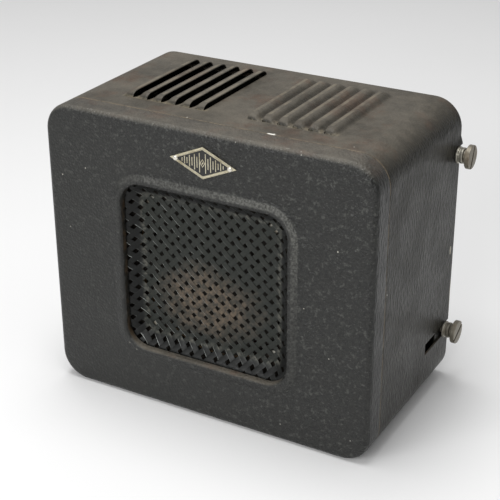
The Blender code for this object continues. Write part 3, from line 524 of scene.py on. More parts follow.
# =====================================================================
# mesh helpers
# =====================================================================
def build(name, verts, faces, mat, body, slot=None, smooth=35, replaces=(), mats=None, face_mat=None, weld=1e-6):
    """One piece from millimetre vertices and faces."""
    me = bpy.data.meshes.new(name)
    me.from_pydata([P(*v) for v in verts], [], [tuple(f) for f in faces])
    bm = bmesh.new()
    bm.from_mesh(me)
    if face_mat is not None:
        bm.faces.ensure_lookup_table()
        for f, k in zip(bm.faces, face_mat):
            f.material_index = k
    if weld:
        bmesh.ops.remove_doubles(bm, verts=bm.verts[:], dist=weld)
        bmesh.ops.dissolve_degenerate(bm, edges=bm.edges[:], dist=1e-7)
    bmesh.ops.recalc_face_normals(bm, faces=bm.faces[:])
    bm.to_mesh(me)
    bm.free()
    me.shade_smooth()
    me.set_sharp_from_angle(angle=math.radians(smooth))
    ob = bpy.data.objects.new(name, me)
    bpy.context.scene.collection.objects.link(ob)
    for m in mats or [mat]:
        me.materials.append(m)
    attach(ob, body)
    if replaces:
        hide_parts(*replaces)
    return ob


def ring(w, h, r, cz, nc=12, ns=10):
    """Rounded rectangle as (x, z), same count whatever its size: nc steps a corner, ns steps a side."""
    r = max(r, 0.2)
    corners = [(w / 2 - r, h / 2 - r, 0), (-w / 2 + r, h / 2 - r, 90), (-w / 2 + r, -h / 2 + r, 180), (w / 2 - r, -h / 2 + r, 270)]
    pts = []
    for k, (cx, cy, a0) in enumerate(corners):
        for i in range(nc + 1):
            a = math.radians(a0 + 90.0 * i / nc)
            pts.append((cx + r * math.cos(a), cz + cy + r * math.sin(a)))
        nx, ny, b0 = corners[(k + 1) % 4]
        a = math.radians(b0)
        end = (nx + r * math.cos(a), cz + ny + r * math.sin(a))
        last = pts[-1]
        for i in range(1, ns):
            f = i / ns
            pts.append((last[0] + (end[0] - last[0]) * f, last[1] + (end[1] - last[1]) * f))
    return pts


def loft(loops, closed=False, cap=(True, True)):
    """Vertices and faces of a skin over equal loops of 3-D points."""
    verts = [p for lp in loops for p in lp]
    n = len(loops[0])
    faces = []
    m = len(loops)
    for a in range(m if closed else m - 1):
        b = (a + 1) % m
        for i in range(n):
            j = (i + 1) % n
            faces.append((a * n + i, a * n + j, b * n + j, b * n + i))
    if not closed:
        if cap[0]:
            faces.append(tuple(reversed(range(n))))
        if cap[1]:
            faces.append(tuple(range((m - 1) * n, m * n)))
    return verts, faces


def merge(parts):
    """Joins (verts, faces) lists."""
    verts, faces = [], []
    for v, f in parts:
        o = len(verts)
        verts += list(v)
        faces += [tuple(i + o for i in face) for face in f]
    return verts, faces


def catmull(pts, per=4):
    """Smooth curve through 2-D points."""
    p = [np.array(q, float) for q in pts]
    p = [2 * p[0] - p[1]] + p + [2 * p[-1] - p[-2]]
    out = []
    for i in range(1, len(p) - 2):
        for k in range(per):
            t = k / per
            a, b, c, d = p[i - 1], p[i], p[i + 1], p[i + 2]
            out.append(tuple(0.5 * (2 * b + (c - a) * t + (2 * a - 5 * b + 4 * c - d) * t * t + (3 * b - a - 3 * c + d) * t ** 3)))
    out.append(tuple(p[-2]))
    return out


def turned(centre, axis, profile, n, closed=False):
    """Turned solid; profile is (radius, position along the axis)."""
    loops = []
    for r, s in profile:
        lp = []
        for i in range(n):
            a = 2 * math.pi * i / n
            u, v = r * math.cos(a), r * math.sin(a)
            c = list(centre)
            c["xyz".index(axis)] = s
            if axis == "x":
                lp.append((c[0], c[1] + u, c[2] + v))
            elif axis == "y":
                lp.append((c[0] + u, c[1], c[2] + v))
            else:
                lp.append((c[0] + u, c[1] + v, c[2]))
        loops.append(lp)
    return loft(loops, closed)


def tube(points, radius, n=8):
    """Closed round tube along 3-D points."""
    pts = [Vector(p) for p in points]
    loops = []
    up = Vector((0, 1, 0))
    for i, p in enumerate(pts):
        d = (pts[min(i + 1, len(pts) - 1)] - pts[max(i - 1, 0)]).normalized()
        s = d.cross(up)
        if s.length < 1e-6:
            s = d.cross(Vector((1, 0, 0)))
        s.normalize()
        q = s.cross(d).normalized()
        r = radius(i / (len(pts) - 1)) if callable(radius) else radius
        loops.append([tuple(p + (s * math.cos(2 * math.pi * k / n) + q * math.sin(2 * math.pi * k / n)) * r) for k in range(n)])
    return loft(loops)


def cut_with(ob, cutter, op="DIFFERENCE"):
    """Applies a boolean with a throw-away cutter."""
    mod = ob.modifiers.new("cut", "BOOLEAN")
    mod.operation, mod.solver, mod.object = op, "EXACT", cutter
    dg = bpy.context.evaluated_depsgraph_get()
    me = bpy.data.meshes.new_from_object(ob.evaluated_get(dg))
    mats = list(ob.data.materials)
    ob.modifiers.clear()
    ob.data = me
    me.materials.clear()
    for m in mats:
        me.materials.append(m)
    bpy.data.objects.remove(cutter, do_unlink=True)
    return ob


def loose(verts, faces):
    """A cutter: an object that isn't a piece and is removed after use."""
    me = bpy.data.meshes.new("cutter")
    me.from_pydata([P(*v) for v in verts], [], faces)
    bm = bmesh.new()
    bm.from_mesh(me)
    bmesh.ops.recalc_face_normals(bm, faces=bm.faces[:])
    bm.to_mesh(me)
    bm.free()
    ob = bpy.data.objects.new("cutter", me)
    bpy.context.scene.collection.objects.link(ob)
    ob.hide_render = True
    return ob


# =====================================================================
# front pan
# =====================================================================
def front_pan():
    nc, ns = 14, 14

    def outer(inset, y):
        return [(x, y, z) for x, z in ring(W - 2 * inset, H - 2 * inset, R - inset, CZ, nc, ns)]

    def opening(off, y):
        return [(x, y, z) for x, z in ring(OW + 2 * off, OH + 2 * off, ORAD + off, OZ, nc, ns)]

    loops = [outer(0.25, PAN), outer(0.06, PAN - 0.08), outer(0.0, PAN - 0.3), outer(0, 12.0), outer(0, 7.5)]
    for k in range(13):
        a = math.radians(7.5 * k)
        ins = EDGE * (1 - math.cos(a))
        loops.append(outer(ins, EDGE * (1 - math.sin(a))))
    # flat of the pan, with the slight waviness of drawn sheet
    first_flat = len(loops)
    a_ring, b_ring = outer(EDGE, 0), opening(9.0, 0)
    for f in (0.06, 0.2, 0.35, 0.5, 0.65, 0.8, 0.92):
        lp = []
        for p, q in zip(a_ring, b_ring):
            x, z = p[0] + (q[0] - p[0]) * f, p[2] + (q[2] - p[2]) * f
            k = math.sin(math.pi * f)
            lp.append((x, 0.22 * k * noise.noise(Vector((x / 46, 3.1, z / 46))), z))
        loops.append(lp)
    bead = catmull([(9.0, 0.0), (8.2, -0.02), (7.2, -0.28), (5.8, -0.9), (4.4, -1.58), (3.2, -1.93), (2.3, -1.98), (1.4, -1.78),
                    (0.65, -1.15), (0.2, -0.35), (0.02, 0.6), (0.0, LIP_Y)], 2)
    for off, y in bead:
        loops.append(opening(off, max(y, -1.99)))
    loops += [opening(0.25, LIP_Y + 0.02), opening(SHEET - 0.2, LIP_Y), opening(SHEET, LIP_Y - 0.25), opening(SHEET, 1.0),
              opening(2.4, -0.7), opening(4.6, -0.3), opening(8.6, SHEET)]
    for f in (0.35, 0.7):
        loops.append([(p[0] + (q[0] - p[0]) * f, SHEET, p[2] + (q[2] - p[2]) * f) for p, q in zip(opening(8.6, SHEET), outer(EDGE, SHEET))])
    loops += [outer(EDGE, SHEET), outer(SHEET + 0.8, SHEET + 0.8), outer(SHEET, EDGE), outer(SHEET, PAN - 0.2), outer(SHEET - 0.2, PAN)]
    shell = loft(loops, closed=True)
    parts = [shell]
    ob = build("front_panel_skin", *shell, MAT["front"], "case", "case_paint", 40)
    # badge holes
    for s in (-1, 1):
        ob = cut_with(ob, loose(*turned((BADGE_X + s * 19.0, 0, BADGE_Z), "y", [(1.25, -2.5), (1.25, 3.5)], 16)))
    ob.data.shade_smooth()
    ob.data.set_sharp_from_angle(angle=math.radians(40))
    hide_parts("front_panel")
    # threaded studs welded behind the pan
    studs = []
    for sx in (-1, 1):
        for sz in (-1, 1):
            prof = [(2.6, SHEET + 0.02), (2.3, SHEET + 0.6), (1.98, SHEET + 1.1), (1.98, 13.0)]
            y = 13.0
            while y < 19.2:
                prof += [(1.98, y + 0.25), (1.68, y + 0.6)]
                y += 0.7
            prof += [(1.6, 19.6), (1.2, 20.0)]
            studs.append(turned((sx * 71.5, 0, OZ + sz * 70.5), "y", prof, 18))
    build("front_panel_studs", *merge(studs), MAT["zinc"], "case", "zinc_steel", 30)
    return ob


# =====================================================================
# sleeve with pressed louvres
# =====================================================================
LOUVRE_X = -1.9
LIPS = [15.55 + 10.45 * i for i in range(6)]
HY0, HY1 = HY0_MM, 113.8
HOOD_W, SLOT_IN, HOOD_H = 8.4, 1.9, 3.6
HOOD_V = [0.0, 0.03, 0.07, 0.12, 0.20, 0.30, 0.40, 0.50, 0.60, 0.68, 0.76, 0.84, 0.91, 0.96, 1.0]
HOOD_F = [0.92, 0.955, 0.985, 1.0, 1.0, 0.99, 0.96, 0.89, 0.76, 0.60, 0.40, 0.21, 0.08, 0.02, 0.0]
SLOT_HALF = 4.2


def hood_end(y):
    """Height share along a hood: quarter rounds at both ends."""
    d = min(y - HY0, HY1 - y)
    if d <= 0:
        return 0.0
    if d >= 6.0:
        return 1.0
    return math.sqrt(max(0.0, 1 - (1 - d / 6.0) ** 2))


def sleeve():
    # stations round the outline, starting at the bottom middle and going anticlockwise seen from the front
    # (x, z, inward x, inward z, hood share, sideways bow, mark)
    cols = []
    half_w, half_h = W / 2, H / 2

    def flat(x, z, nx, nz, f=0.0, bow=0.0, mark=""):
        cols.append((x, z, -nx, -nz, f, bow, mark))

    def corner(cx, cz, a0, n=14):
        for i in range(n + 1):
            a = math.radians(a0 + 90.0 * i / n)
            flat(cx + R * math.cos(a), cz + R * math.sin(a), math.cos(a), math.sin(a))

    for x in np.linspace(0, half_w - R, 9)[:-1]:
        flat(x, 0, 0, -1)
    corner(half_w - R, R, 270)
    zs = [170.1, 171.2, 172.2, 173.4, 174.8, 176.4, 178.4]
    for _, _, zc, _ in SCREWS:
        zs += [zc - SLOT_HALF, zc - SLOT_HALF * 0.5, zc, zc + SLOT_HALF * 0.5, zc + SLOT_HALF]
    zs += list(np.linspace(50, 155, 12))
    zs = sorted(z for z in zs if R < z < H - R)
    for z in zs:
        flat(half_w, z, 1, 0)
    corner(half_w - R, H - R, 0)
    # top: from +x to -x
    top = []
    for x in np.linspace(half_w - R, 76.5, 5)[1:]:
        top.append((x, 0.0, 0.0, ""))
    def bank(sign):
        """Columns of one bank, from its closed outside to the middle."""
        out = []
        for i in reversed(range(6)):
            lip = LIPS[i]
            for v, f in zip(reversed(HOOD_V), reversed(HOOD_F)):
                out.append((LOUVRE_X + sign * (lip + v * HOOD_W), f, 0.0, "lip" if v == 0.0 else ""))
            # the sheet's own edge, across the slot
            out.append((LOUVRE_X + sign * lip, 0.0, -sign * (SLOT_IN if i else 0.3), "slot"))
        return out

    top += bank(1)
    for x in (8.0, 3.0, -1.9, -7.0, -12.0):
        top.append((x, 0.0, 0.0, ""))
    top += list(reversed(bank(-1)))
    for x in np.linspace(-80.5, -(half_w - R), 5)[:-1]:
        top.append((x, 0.0, 0.0, ""))
    for x, f, bow, mark in top:
        flat(x, H, 0, 1, f, bow, mark)
    corner(-(half_w - R), H - R, 90)
    for z in reversed(zs):
        flat(-half_w, z, -1, 0)
    corner(-(half_w - R), R, 180)
    for x in np.linspace(-(half_w - R), 0, 9)[1:-1]:
        flat(x, 0, 0, -1)

    ys = [SEAM, SEAM + 0.08, SEAM + 0.3, 20.5, 25.0, 28.0]
    ys += [HY0 + d for d in (0.0, 0.15, 0.5, 1.0, 1.6, 2.4, 3.3, 4.4, 6.0)]
    ys += list(np.linspace(HY0 + 10, 83.5, 8)) + [87.5, 88.5]
    ys += [95.0, 101.0]
    ys += [HY1 - d for d in (6.0, 4.4, 3.3, 2.4, 1.6, 1.0, 0.5, 0.15, 0.0)]
    ys += [116.0, 118.0, 120.0, 122.0, 124.0, 125.6, 127.0, 127.7, 127.93, D]
    ys = sorted(set(round(float(y), 3) for y in ys))
    edge_in = {ys[0]: 0.25, ys[1]: 0.07, ys[-1]: 0.30, ys[-2]: 0.08}

    n = len(cols)
    outer, inner = [], []
    for y in ys:
        k = hood_end(y)
        e = edge_in.get(y, 0.0)
        for x, z, ix, iz, f, bow, _ in cols:
            # slight panel waviness between the stiff corners
            wav = 0.0
            if abs(ix) > 0.99 or abs(iz) > 0.99:
                soft = min(1.0, max(0.0, (y - 24) / 20)) * min(1.0, max(0.0, (D - 6 - y) / 25))
                t = (1 - abs(z - CZ) / (CZ - R)) if abs(ix) > 0.99 else 0.0
                wav = 0.05 * soft * max(0.0, min(1.0, 2.0 * t)) * (0.5 + 0.5 * noise.noise(Vector((x / 90, y / 48, z / 60))))
            h = HOOD_H * f * k
            off = e + wav
            if ix < -0.99 and y > 118.0:
                # the rear edge is sprung outwards a little above the upper right screw
                bulge = max(0.0, min(1.0, (z - 169.2) / 1.8)) * max(0.0, min(1.0, (176.4 - z) / 4.6))
                off -= 1.5 * bulge * ((y - 118.0) / 10.0) ** 1.5
            x += bow * k
            thick = SHEET - 0.6 * k * max(0.0, min(1.0, (f - 0.4) / 0.4))
            outer.append((x + ix * off, y, z + iz * off + h))
            inner.append((x + ix * (off + thick), y, z + iz * (off + thick) + h))
    m = len(ys)
    faces = []
    lip_pairs = set()
    for i in range(n):
        j = (i + 1) % n
        if {cols[i][6], cols[j][6]} == {"lip", "slot"}:
            lip_pairs.add(i)
    for r in range(m - 1):
        y0, y1 = ys[r], ys[r + 1]
        for i in range(n):
            j = (i + 1) % n
            if i in lip_pairs:
                continue
            za, zb = cols[i][1], cols[j][1]
            xa = cols[i][0]
            ymid, zmid = (y0 + y1) / 2, (za + zb) / 2
            if abs(abs(xa) - half_w) < 1e-6 and abs(abs(cols[j][0]) - half_w) < 1e-6:
                if any(ymid > end and abs(zmid - zc) < SLOT_HALF for _, _, zc, end in SCREWS):
                    continue
            faces.append((r * n + i, r * n + j, (r + 1) * n + j, (r + 1) * n + i))
    # weld coincident points beyond the hoods before closing the edge
    key, remap = {}, []
    for idx, p in enumerate(outer):
        k = tuple(round(c, 4) for c in p)
        remap.append(key.setdefault(k, idx))
    faces = [tuple(remap[v] for v in f) for f in faces]
    count = {}
    for f in faces:
        for a, b in zip(f, f[1:] + f[:1]):
            count.setdefault((min(a, b), max(a, b)), []).append((a, b))
    N = len(outer)
    closed = list(faces) + [tuple(v + N for v in reversed(f)) for f in faces]
    for pairs in count.values():
        if len(pairs) == 1:
            a, b = pairs[0]
            closed.append((b, a, a + N, b + N))
    used = sorted({v for f in closed for v in f})
    new = {v: i for i, v in enumerate(used)}
    both = outer + inner
    verts = [both[v] for v in used]
    closed = [tuple(new[v] for v in f) for f in closed]
    ob = build("case_sleeve_skin", verts, closed, MAT["sleeve"], "case", "case_paint", 42, ["case_sleeve"])

    def loop(inset, y):
        return [(x, y, z) for x, z in ring(W - 2 * inset, H - 2 * inset, R - inset, CZ, 12, 8)]
    tongue = loft([loop(1.5, 19.6), loop(1.5, SEAM - 8.8), loop(1.7, SEAM - 9.0), loop(2.5, SEAM - 9.0), loop(2.7, SEAM - 8.8),
                   loop(2.7, 19.6)], closed=True)
    build("case_sleeve_tongue", *tongue, MAT["sleeve"], "case", "case_paint", 40)
    studs = []
    for s in (-1, 1):
        prof = [(2.6, SHEET + 0.02), (1.9, SHEET + 0.3)]
        z = SHEET + 3.2
        while z < 9.0:
            prof += [(1.88, z), (1.6, z + 0.3)]
            z += 0.6
        prof += [(1.88, 9.1), (1.4, 9.5)]
        studs.append(turned((s * 27.0, 62.0, 0), "z", prof, 16))
    build("case_sleeve_studs", *merge(studs), MAT["zinc"], "case", "zinc_steel", 30)
    return ob


# =====================================================================
# woven grille
# =====================================================================
TRAY_D = [-8.0, 0.0, 1.0, 3.0, 5.5, 8.0, 10.0, 12.0, 100.0]
TRAY_Y = [3.35, 3.35, 3.70, 5.2, 7.2, 8.75, 9.45, 9.75, 9.75]


def inward(x, z):
    """Distance inwards from the opening's edge."""
    qx, qz = abs(x) - (OW / 2 - ORAD), abs(z - OZ) - (OH / 2 - ORAD)
    outside = math.hypot(max(qx, 0), max(qz, 0)) + min(max(qx, qz), 0) - ORAD
    return -outside


def tray(x, z):
    """Depth of the middle of the woven strips."""
    d = inward(x, z)
    y = float(np.interp(d, TRAY_D, TRAY_Y))
    return y


def weave():
    pitch_a, pitch_b = 6.26, 6.18
    a0, b0 = 0.08, -1.65
    da, db = math.radians(47.5), math.radians(-43.5)
    # unit vectors: a grows along ua, b along ub (ub not quite square to ua)
    ua = np.array([math.cos(da), math.sin(da)])
    ub = np.array([math.cos(db), math.sin(db)])
    M = np.array([ua, ub])
    Mi = np.linalg.inv(M)

    def xz(a, b):
        p = Mi @ np.array([a, b])
        return p[0], p[1] + OZ

    half_w, half_t = 1.76, 0.13
    prof = [(-half_w, -0.08), (-half_w, 0.05), (-half_w + 0.07, 0.105), (-half_w + 0.24, half_t), (0.0, half_t + 0.02),
            (half_w - 0.24, half_t), (half_w - 0.07, 0.105), (half_w, 0.05), (half_w, -0.08), (half_w - 0.15, -half_t), (-half_w + 0.15, -half_t)]
    amp = 0.16
    reach = 100.0
    made = {0: [], 1: []}
    edge = {0: [], 1: []}
    rng = random.Random(3)
    for fam in (0, 1):
        # fam 0: constant a, runs along b;  fam 1: constant b, runs along a
        pitch_c, c0 = (pitch_a, a0) if fam == 0 else (pitch_b, b0)
        pitch_r, r0 = (pitch_b, b0) if fam == 0 else (pitch_a, a0)
        for k in range(-16, 17):
            c = c0 + (k + 0.5) * pitch_c
            step = pitch_r / 8.0
            jit, slow = rng.uniform(-0.16, 0.16), rng.uniform(-0.12, 0.12)
            run, rows = [], []
            s = -reach
            pts = []
            while s <= reach:
                pts.append(s)
                s += step
            for s in pts:
                cc = c + jit + slow * math.sin(s / 19.0 + k)
                x, z = xz(cc, s) if fam == 0 else xz(s, cc)
                if inward(x, z) > -3.6:
                    run.append((s, cc))
                elif run:
                    rows.append(run)
                    run = []
            if run:
                rows.append(run)
            for run in rows:
                if len(run) < 5:
                    continue
                loops = []
                for s, cc in run:
                    # phase of the weave: over where the index sum is even
                    m = (s - r0) / pitch_r - 0.5
                    wv = math.cos(math.pi * m) * (1 if (k % 2 == 0) else -1)
                    if fam == 1:
                        wv = -wv
                    wv = math.copysign(abs(wv) ** 0.42, wv)
                    lp = []
                    for u, h in prof:
                        if fam == 0:
                            x, z = xz(cc + u, s)
                        else:
                            x, z = xz(s, cc + u)
                        d = inward(x, z)
                        fade = min(1.0, max(0.45, (d + 1.0) / 9.0))
                        y = tray(x, z)
                        # outward normal of the tray in (x, y, z), by finite differences
                        e = 0.3
                        gx = (tray(x + e, z) - tray(x - e, z)) / (2 * e)
                        gz = (tray(x, z + e) - tray(x, z - e)) / (2 * e)
                        ln = math.sqrt(1 + gx * gx + gz * gz)
                        off = h + amp * wv * fade
                        # normal pointing to the viewer (-y)
                        lp.append((x + gx / ln * off, y - off / ln, z + gz / ln * off))
                    loops.append(lp)
                made[fam].append(loft(loops))
                n = len(prof)
                # faces along one edge of each strip take the painted edge highlight
                edge[fam] += [1 if i in (1, 2) else 0 for _ in range(len(loops) - 1) for i in range(n)] + [0, 0]
    build("grille_strips_a", *merge(made[0]), MAT["strip_a"], "case", "grille_steel", 50, ["grille_mesh"],
          mats=[MAT["strip_a"], MAT["strip_edge"]], face_mat=edge[0], weld=0)
    build("grille_strips_b", *merge(made[1]), MAT["strip_b"], "case", "grille_steel", 50, weld=0)


# =====================================================================
# badge
# =====================================================================
def badge():
    """Diamond plate: twisted-rope border, black enamel field and a plain fan of bars, held by two domed rivets."""
    hw, hh = 46.5 / 2, 20.6 / 2

    def across(shape):
        """The shape moved to the badge's place."""
        verts, faces = shape
        return [(x + BADGE_X, y, z) for x, y, z in verts], faces

    z0 = BADGE_Z
    y_back = -0.31

    def diamond(inset, y):
        # inset measured square to the sides
        k = inset * math.hypot(hw, hh) / (hw * hh)
        s = 1 - k
        return [(hw * s, y, z0), (0, y, z0 + hh * s), (-hw * s, y, z0), (0, y, z0 - hh * s)]

    def blunt(inset, y, r=0.25):
        """Diamond with slightly blunted tips."""
        base = diamond(inset, y)
        out = []
        for i, p in enumerate(base):
            a, b = base[i - 1], base[(i + 1) % 4]
            for q, f in ((a, 1.0), (b, 1.0)):
                d = math.hypot(q[0] - p[0], q[2] - p[2])
                t = r / d
                out.append((p[0] + (q[0] - p[0]) * t, y, p[2] + (q[2] - p[2]) * t))
        return out
    plate = loft([blunt(0.0, y_back), blunt(0.0, -0.62), blunt(0.12, -0.74), blunt(1.50, -0.74), blunt(1.60, -0.66)], cap=(True, False))
    # field
    field = loft([blunt(1.60, -0.66), blunt(1.65, -0.60)], cap=(False, True))
    pl = build("badge_body", *across(merge([plate, field])), MAT["badge"], "case", "badge_metal", 30, ["badge_plate"],
               mats=[MAT["badge"], MAT["enamel"]])
    for poly in pl.data.polygons:
        c = poly.center
        if len(poly.vertices) > 4 and abs(c[1] - (-0.60 - Y_MID) * MM) < 4e-5:
            poly.material_index = 1

    # rope border: short slanted rolls laid round the edge
    rope = []
    mid = diamond(0.82, -0.76)
    for i in range(4):
        a, b = Vector(mid[i]), Vector(mid[(i + 1) % 4])
        length = (b - a).length
        d = (b - a).normalized()
        nrm = Vector((0, -1, 0))
        side = d.cross(nrm).normalized()
        count = int(length / 0.92)
        for k in range(count):
            s = (k + 0.5) / count
            # keep clear of the rivets
            c = a + (b - a) * s
            if min((c - Vector((sx * 19.0, c.y, z0))).length for sx in (-1, 1)) < 2.1:
                continue
            lean = d * 0.42
            p0, p1 = c - side * 0.60 - lean, c + side * 0.60 + lean
            pts = [p0 + (p1 - p0) * f + nrm * (0.20 * math.sin(math.pi * f)) for f in (0, 0.15, 0.35, 0.5, 0.65, 0.85, 1)]
            rope.append(tube(pts, lambda f: 0.10 + 0.24 * math.sin(math.pi * min(max(f, 0.03), 0.97)) ** 0.5, 8))
    build("badge_rope", *across(merge(rope)), MAT["badge"], "case", "badge_metal", 50, weld=0)

    # generic ornament: a row of upright bars under a lens outline, with a small lozenge in the middle
    bars = []

    def bar(x, top, bottom, w, y=-0.60, h=0.24):
        lo = [(x - w / 2, y, z0 + bottom), (x + w / 2, y, z0 + bottom), (x + w / 2, y, z0 + top), (x - w / 2, y, z0 + top)]
        hi = [(x - w / 2 + 0.08, y - h, z0 + bottom + 0.1), (x + w / 2 - 0.08, y - h, z0 + bottom + 0.1),
              (x + w / 2 - 0.08, y - h, z0 + top - 0.1), (x - w / 2 + 0.08, y - h, z0 + top - 0.1)]
        bars.append(loft([lo, hi]))
    for k in range(1, 9):
        x = 1.75 * k + 0.35
        lim = (hh - 2.35) * (1 - x / (hw - 3.6)) * 0.92
        swing = lim * (0.96 if k % 2 else 0.60)
        if swing < 0.45:
            continue
        for s in (-1, 1):
            bar(s * x, swing, -swing, 0.62)
    for r0, r1 in ((2.9, 2.35),):
        lo = [[(0 + r * math.cos(a), y, z0 + r * 1.55 * math.sin(a)) for a in [math.pi / 2 * i for i in range(4)]] for r, y in (
            (r0 * 0.62, -0.60), (r0 * 0.60, -0.84), (r1 * 0.60 - 0.08, -0.84), (r1 * 0.60 - 0.1, -0.60))]
        bars.append(loft(lo, closed=True))
    core = [[(r * math.cos(a), y, z0 + r * 1.5 * math.sin(a)) for a in [math.pi / 2 * i for i in range(4)]] for r, y in ((0.62, -0.60), (0.5, -0.84))]
    bars.append(loft(core))
    build("badge_ornament", *across(merge(bars)), MAT["badge"], "case", "badge_metal", 25, weld=0)

    for s, sidename in ((-1, "left"), (1, "right")):
        prof = [(1.25, 2.2), (1.25, -0.70), (1.72, -0.70), (1.74, -0.95)]
        for k in range(1, 8):
            a = math.radians(90 * k / 8)
            prof.append((1.74 * math.cos(a), -0.95 - 0.95 * math.sin(a)))
        prof.append((0.12, -1.915))
        tail = [(0.4, 3.0), (1.6, 2.7), (1.9, 2.2)]
        build("badge_rivet_dome_" + sidename, *across(turned((s * 19.0, 0, z0), "y", tail + prof, 28)), MAT["rivet"], "case", "nickel", 40,
              ["badge_rivet_" + sidename])


# =====================================================================
# clamp screws
# =====================================================================
def clamps():
    half = W / 2
    for sx, sn in ((1, "right"), (-1, "left")):
        for zn, yc, z, _ in SCREWS:
            tag = zn + "_" + sn
            c = (0, yc, z)
            x0 = half + 0.3
            # collar: two flanges with a groove between
            prof = [(3.15, x0), (5.3, x0), (5.52, x0 + 0.12), (5.6, x0 + 0.35), (5.6, x0 + 1.2), (5.5, x0 + 1.45), (5.0, x0 + 1.6),
                    (4.75, x0 + 1.8), (4.72, x0 + 2.2), (4.9, x0 + 2.42), (5.15, x0 + 2.55), (5.28, x0 + 2.8), (5.28, x0 + 4.2),
                    (5.1, x0 + 4.5), (4.8, x0 + 4.6), (3.15, x0 + 4.6)]
            build("collar_ring_" + tag, *turned(c, "x", [(r, sx * p) for r, p in prof], 48, closed=True), MAT["collar"],
                  "collar_" + tag, "nickel", 30, ["clamp_collar_" + tag])
            x1 = x0 + 4.9
            hx = 126.3
            h0 = hx - 3.2
            prof = [(0.6, 104.5), (1.8, 104.6)]
            p = 105.4
            while p < 115.2:
                prof += [(2.82, p), (2.45, p + 0.5)]
                p += 1.0
            prof += [(2.85, 116.0), (2.85, x1), (4.3, x1), (4.4, x1 + 0.1), (4.4, h0 - 0.5), (4.5, h0 - 0.2), (4.8, h0 - 0.02),
                     (4.95, h0), (7.3, h0), (7.45, h0), (7.66, h0 + 0.06), (7.84, h0 + 0.22), (7.9, h0 + 0.4), (7.9, h0 + 0.55),
                     (7.9, h0 + 2.6), (7.9, h0 + 2.75), (7.85, h0 + 2.95), (7.7, h0 + 3.11), (7.5, h0 + 3.17), (7.35, h0 + 3.18),
                     (4.0, hx - 0.01), (1.2, hx)]
            ob = build("screw_head_" + tag, *turned(c, "x", [(r, sx * q) for r, q in prof], 56), MAT["screw"],
                       "screw_" + tag, "nickel", 28)
            a, b = hx - 1.2, hx + 2.0
            turn = math.radians({"upper": 20.0, "lower": 62.0}[zn])
            cy, sy_ = math.cos(turn), math.sin(turn)
            quad = [(u * cy + w * sy_, -u * sy_ + w * cy) for u, w in ((-0.95, -12), (0.95, -12), (0.95, 12), (-0.95, 12))]
            cutter = loft([[(sx * xx, yc + u, z + w) for u, w in quad] for xx in (a, b)])
            ob = cut_with(ob, loose(*cutter))
            ob.data.shade_smooth()
            ob.data.set_sharp_from_angle(angle=math.radians(28))
            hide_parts("clamp_screw_" + tag)


# =====================================================================
# rear cover and grommet
# =====================================================================
def rear():
    nc, ns = 12, 10

    def loop(ins, y):
        return [(x, y, z) for x, z in ring(W - 2 * ins, H - 2 * ins, max(R - ins, 3.0), CZ, nc, ns)]
    t, inset, y1 = SHEET, 1.5, REAR_Y
    outside = [(30.0, y1)]
    swage = catmull([(27.4, y1), (26.6, y1 + 0.18), (25.6, y1 + 0.9), (24.0, y1 + 1.19), (22.4, y1 + 0.9), (21.4, y1 + 0.18), (20.6, y1)], 3)
    front = [(inset, 108.2), (inset, y1 - 1.8)]
    rnd = [(inset + 1.8 * (1 - math.cos(math.radians(a))), y1 - 1.8 + 1.8 * math.sin(math.radians(a))) for a in range(15, 91, 15)]
    seq = [(30.0, y1 - t), (26.6, y1 - t), (25.6, y1 - t + 0.8), (24.0, y1 - t + 1.1), (22.4, y1 - t + 0.8), (21.4, y1 - t),
           (inset + 3.2, y1 - t), (inset + t + 0.5, y1 - t - 0.6), (inset + t, y1 - 2.2), (inset + t, 108.2), (inset + t - 0.2, 108.0), (inset + 0.2, 108.0)]
    seq += front + rnd + [(8.0, y1), (15.0, y1)] + list(reversed(swage)) + outside
    ob = build("rear_panel_skin", *loft([loop(i, y) for i, y in seq]), MAT["sleeve"], "rear_cover", "case_paint", 40)
    cutters = [turned((-62.0, 0, 42.0), "y", [(5.6, y1 - 4), (5.6, y1 + 3)], 28)]
    for sx in (-1, 1):
        for _, yc, z, _ in SCREWS:
            a, b = sorted((sx * 105.0, sx * 120.0))
            cutters.append(turned((0, yc, z), "x", [(3.3, a), (3.3, b)], 20))
    ob = cut_with(ob, loose(*merge(cutters)))
    ob.data.shade_smooth()
    ob.data.set_sharp_from_angle(angle=math.radians(40))
    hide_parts("rear_panel")
    g = [(3.2, y1 - 2.9), (3.2, y1 + 1.5), (3.5, y1 + 1.75), (4.2, y1 + 1.8), (6.2, y1 + 1.8), (7.1, y1 + 1.5), (7.55, y1 + 1.0), (7.6, y1 + 0.32),
         (5.2, y1 + 0.3), (5.2, y1 - 1.5), (7.6, y1 - 1.5), (7.5, y1 - 2.4), (6.9, y1 - 3.0), (5.8, y1 - 3.2), (3.6, y1 - 3.2)]
    build("cable_grommet_ring", *turned((-62.0, 0, 42.0), "y", g, 40, closed=True), MAT["rubber"], "rear_cover", "rubber", 40,
          ["cable_grommet"])


front_pan()
sleeve()
weave()
badge()
clamps()
rear()

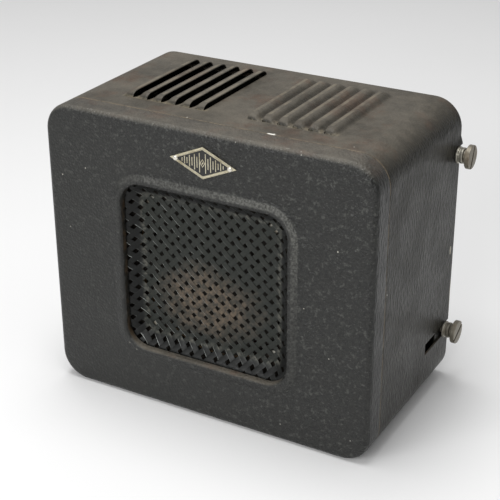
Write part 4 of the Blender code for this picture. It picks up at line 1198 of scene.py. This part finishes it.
# =====================================================================
# finishes on the CAD pieces that stay
# =====================================================================
FINISH = {
    "baffle_board": "board", "spacer_frame": "board", "gasket_ring": "card", "driver_basket": "basket",
    "cone": "cone", "cone_surround": "cone", "dust_cap": "cone", "centring_spider": "card", "coil_former": "card",
    "voice_coil": "copper", "top_plate": "iron", "yoke_cup": "iron", "pole_piece": "iron", "yoke_rivet": "iron",
    "magnet_slug": "magnet", "transformer_core": "lamination", "transformer_frame": "zinc", "transformer_winding": "wax",
    "tag_board": "paxolin", "driver_tag_board": "paxolin", "speaker_lead_left": "lead_b", "speaker_lead_right": "lead_r",
}
for name, ob in NODES.items():
    if ob.hide_render:
        continue
    key = FINISH.get(name)
    if key is None:
        key = "brass" if "tag_" in name else "zinc"
    ob.data.materials.clear()
    ob.data.materials.append(MAT[key])
    ob.data.shade_smooth()
    ob.data.set_sharp_from_angle(angle=math.radians(32))
    if not name.startswith("speaker_lead"):
        bev = ob.modifiers.new("soft_edges", "BEVEL")
        bev.width = 0.00012
        bev.segments = 2
        bev.limit_method = "ANGLE"
        bev.angle_limit = math.radians(40)

# =====================================================================
# camera, floor and light
# =====================================================================
cam_data = bpy.data.cameras.new("camera")
cam = bpy.data.objects.new("camera", cam_data)
bpy.context.scene.collection.objects.link(cam)
cam_data.sensor_width = 36.0
cam_data.lens = 93.25
cam_data.clip_start, cam_data.clip_end = 0.01, 50.0
cam.location = (0.379443, -0.675664, 0.471768)
cam.rotation_euler = (math.radians(64.059735), math.radians(0.220945), math.radians(29.421295))
bpy.context.scene.camera = cam

fm = Tree("floor")
fn = fm.noise(3.0, 3.0)
fm.out(fm.mix(fn, (0.83, 0.83, 0.83), (0.86, 0.86, 0.86)), 0.7, 0.0, fm.bump(fm.noise(90, 3.0), 0.02, 0.001))
me = bpy.data.meshes.new("floor")
S = 6.0
me.from_pydata([(-S, -S, -0.0002), (S, -S, -0.0002), (S, S, -0.0002), (-S, S, -0.0002)], [], [(0, 1, 2, 3)])
floor = bpy.data.objects.new("floor", me)
bpy.context.scene.collection.objects.link(floor)
me.materials.append(fm.mat)

world = bpy.data.worlds.new("world")
bpy.context.scene.world = world
world.use_nodes = True
bg = world.node_tree.nodes["Background"]
bg.inputs[0].default_value = (1.0, 1.0, 1.0, 1.0)
bg.inputs[1].default_value = 0.43


def area(name, loc, target, size, power, colour=(1, 1, 1)):
    ld = bpy.data.lights.new(name, "AREA")
    ld.shape = "RECTANGLE"
    ld.size, ld.size_y = size
    ld.energy = power
    ld.color = colour
    lo = bpy.data.objects.new(name, ld)
    bpy.context.scene.collection.objects.link(lo)
    lo.location = loc
    lo.rotation_mode = "QUATERNION"
    lo.rotation_quaternion = (Vector(loc) - Vector(target)).to_track_quat("Z", "Y")
    return lo


area("key_top", (-0.10, -0.05, 1.5), (0, 0, 0.1), (1.0, 0.6), 14.0)
area("front_box", (-0.20, -1.5, 0.80), (0, 0, 0.1), (1.5, 0.40), 15.0)

bpy.context.scene.view_settings.view_transform = "Standard"
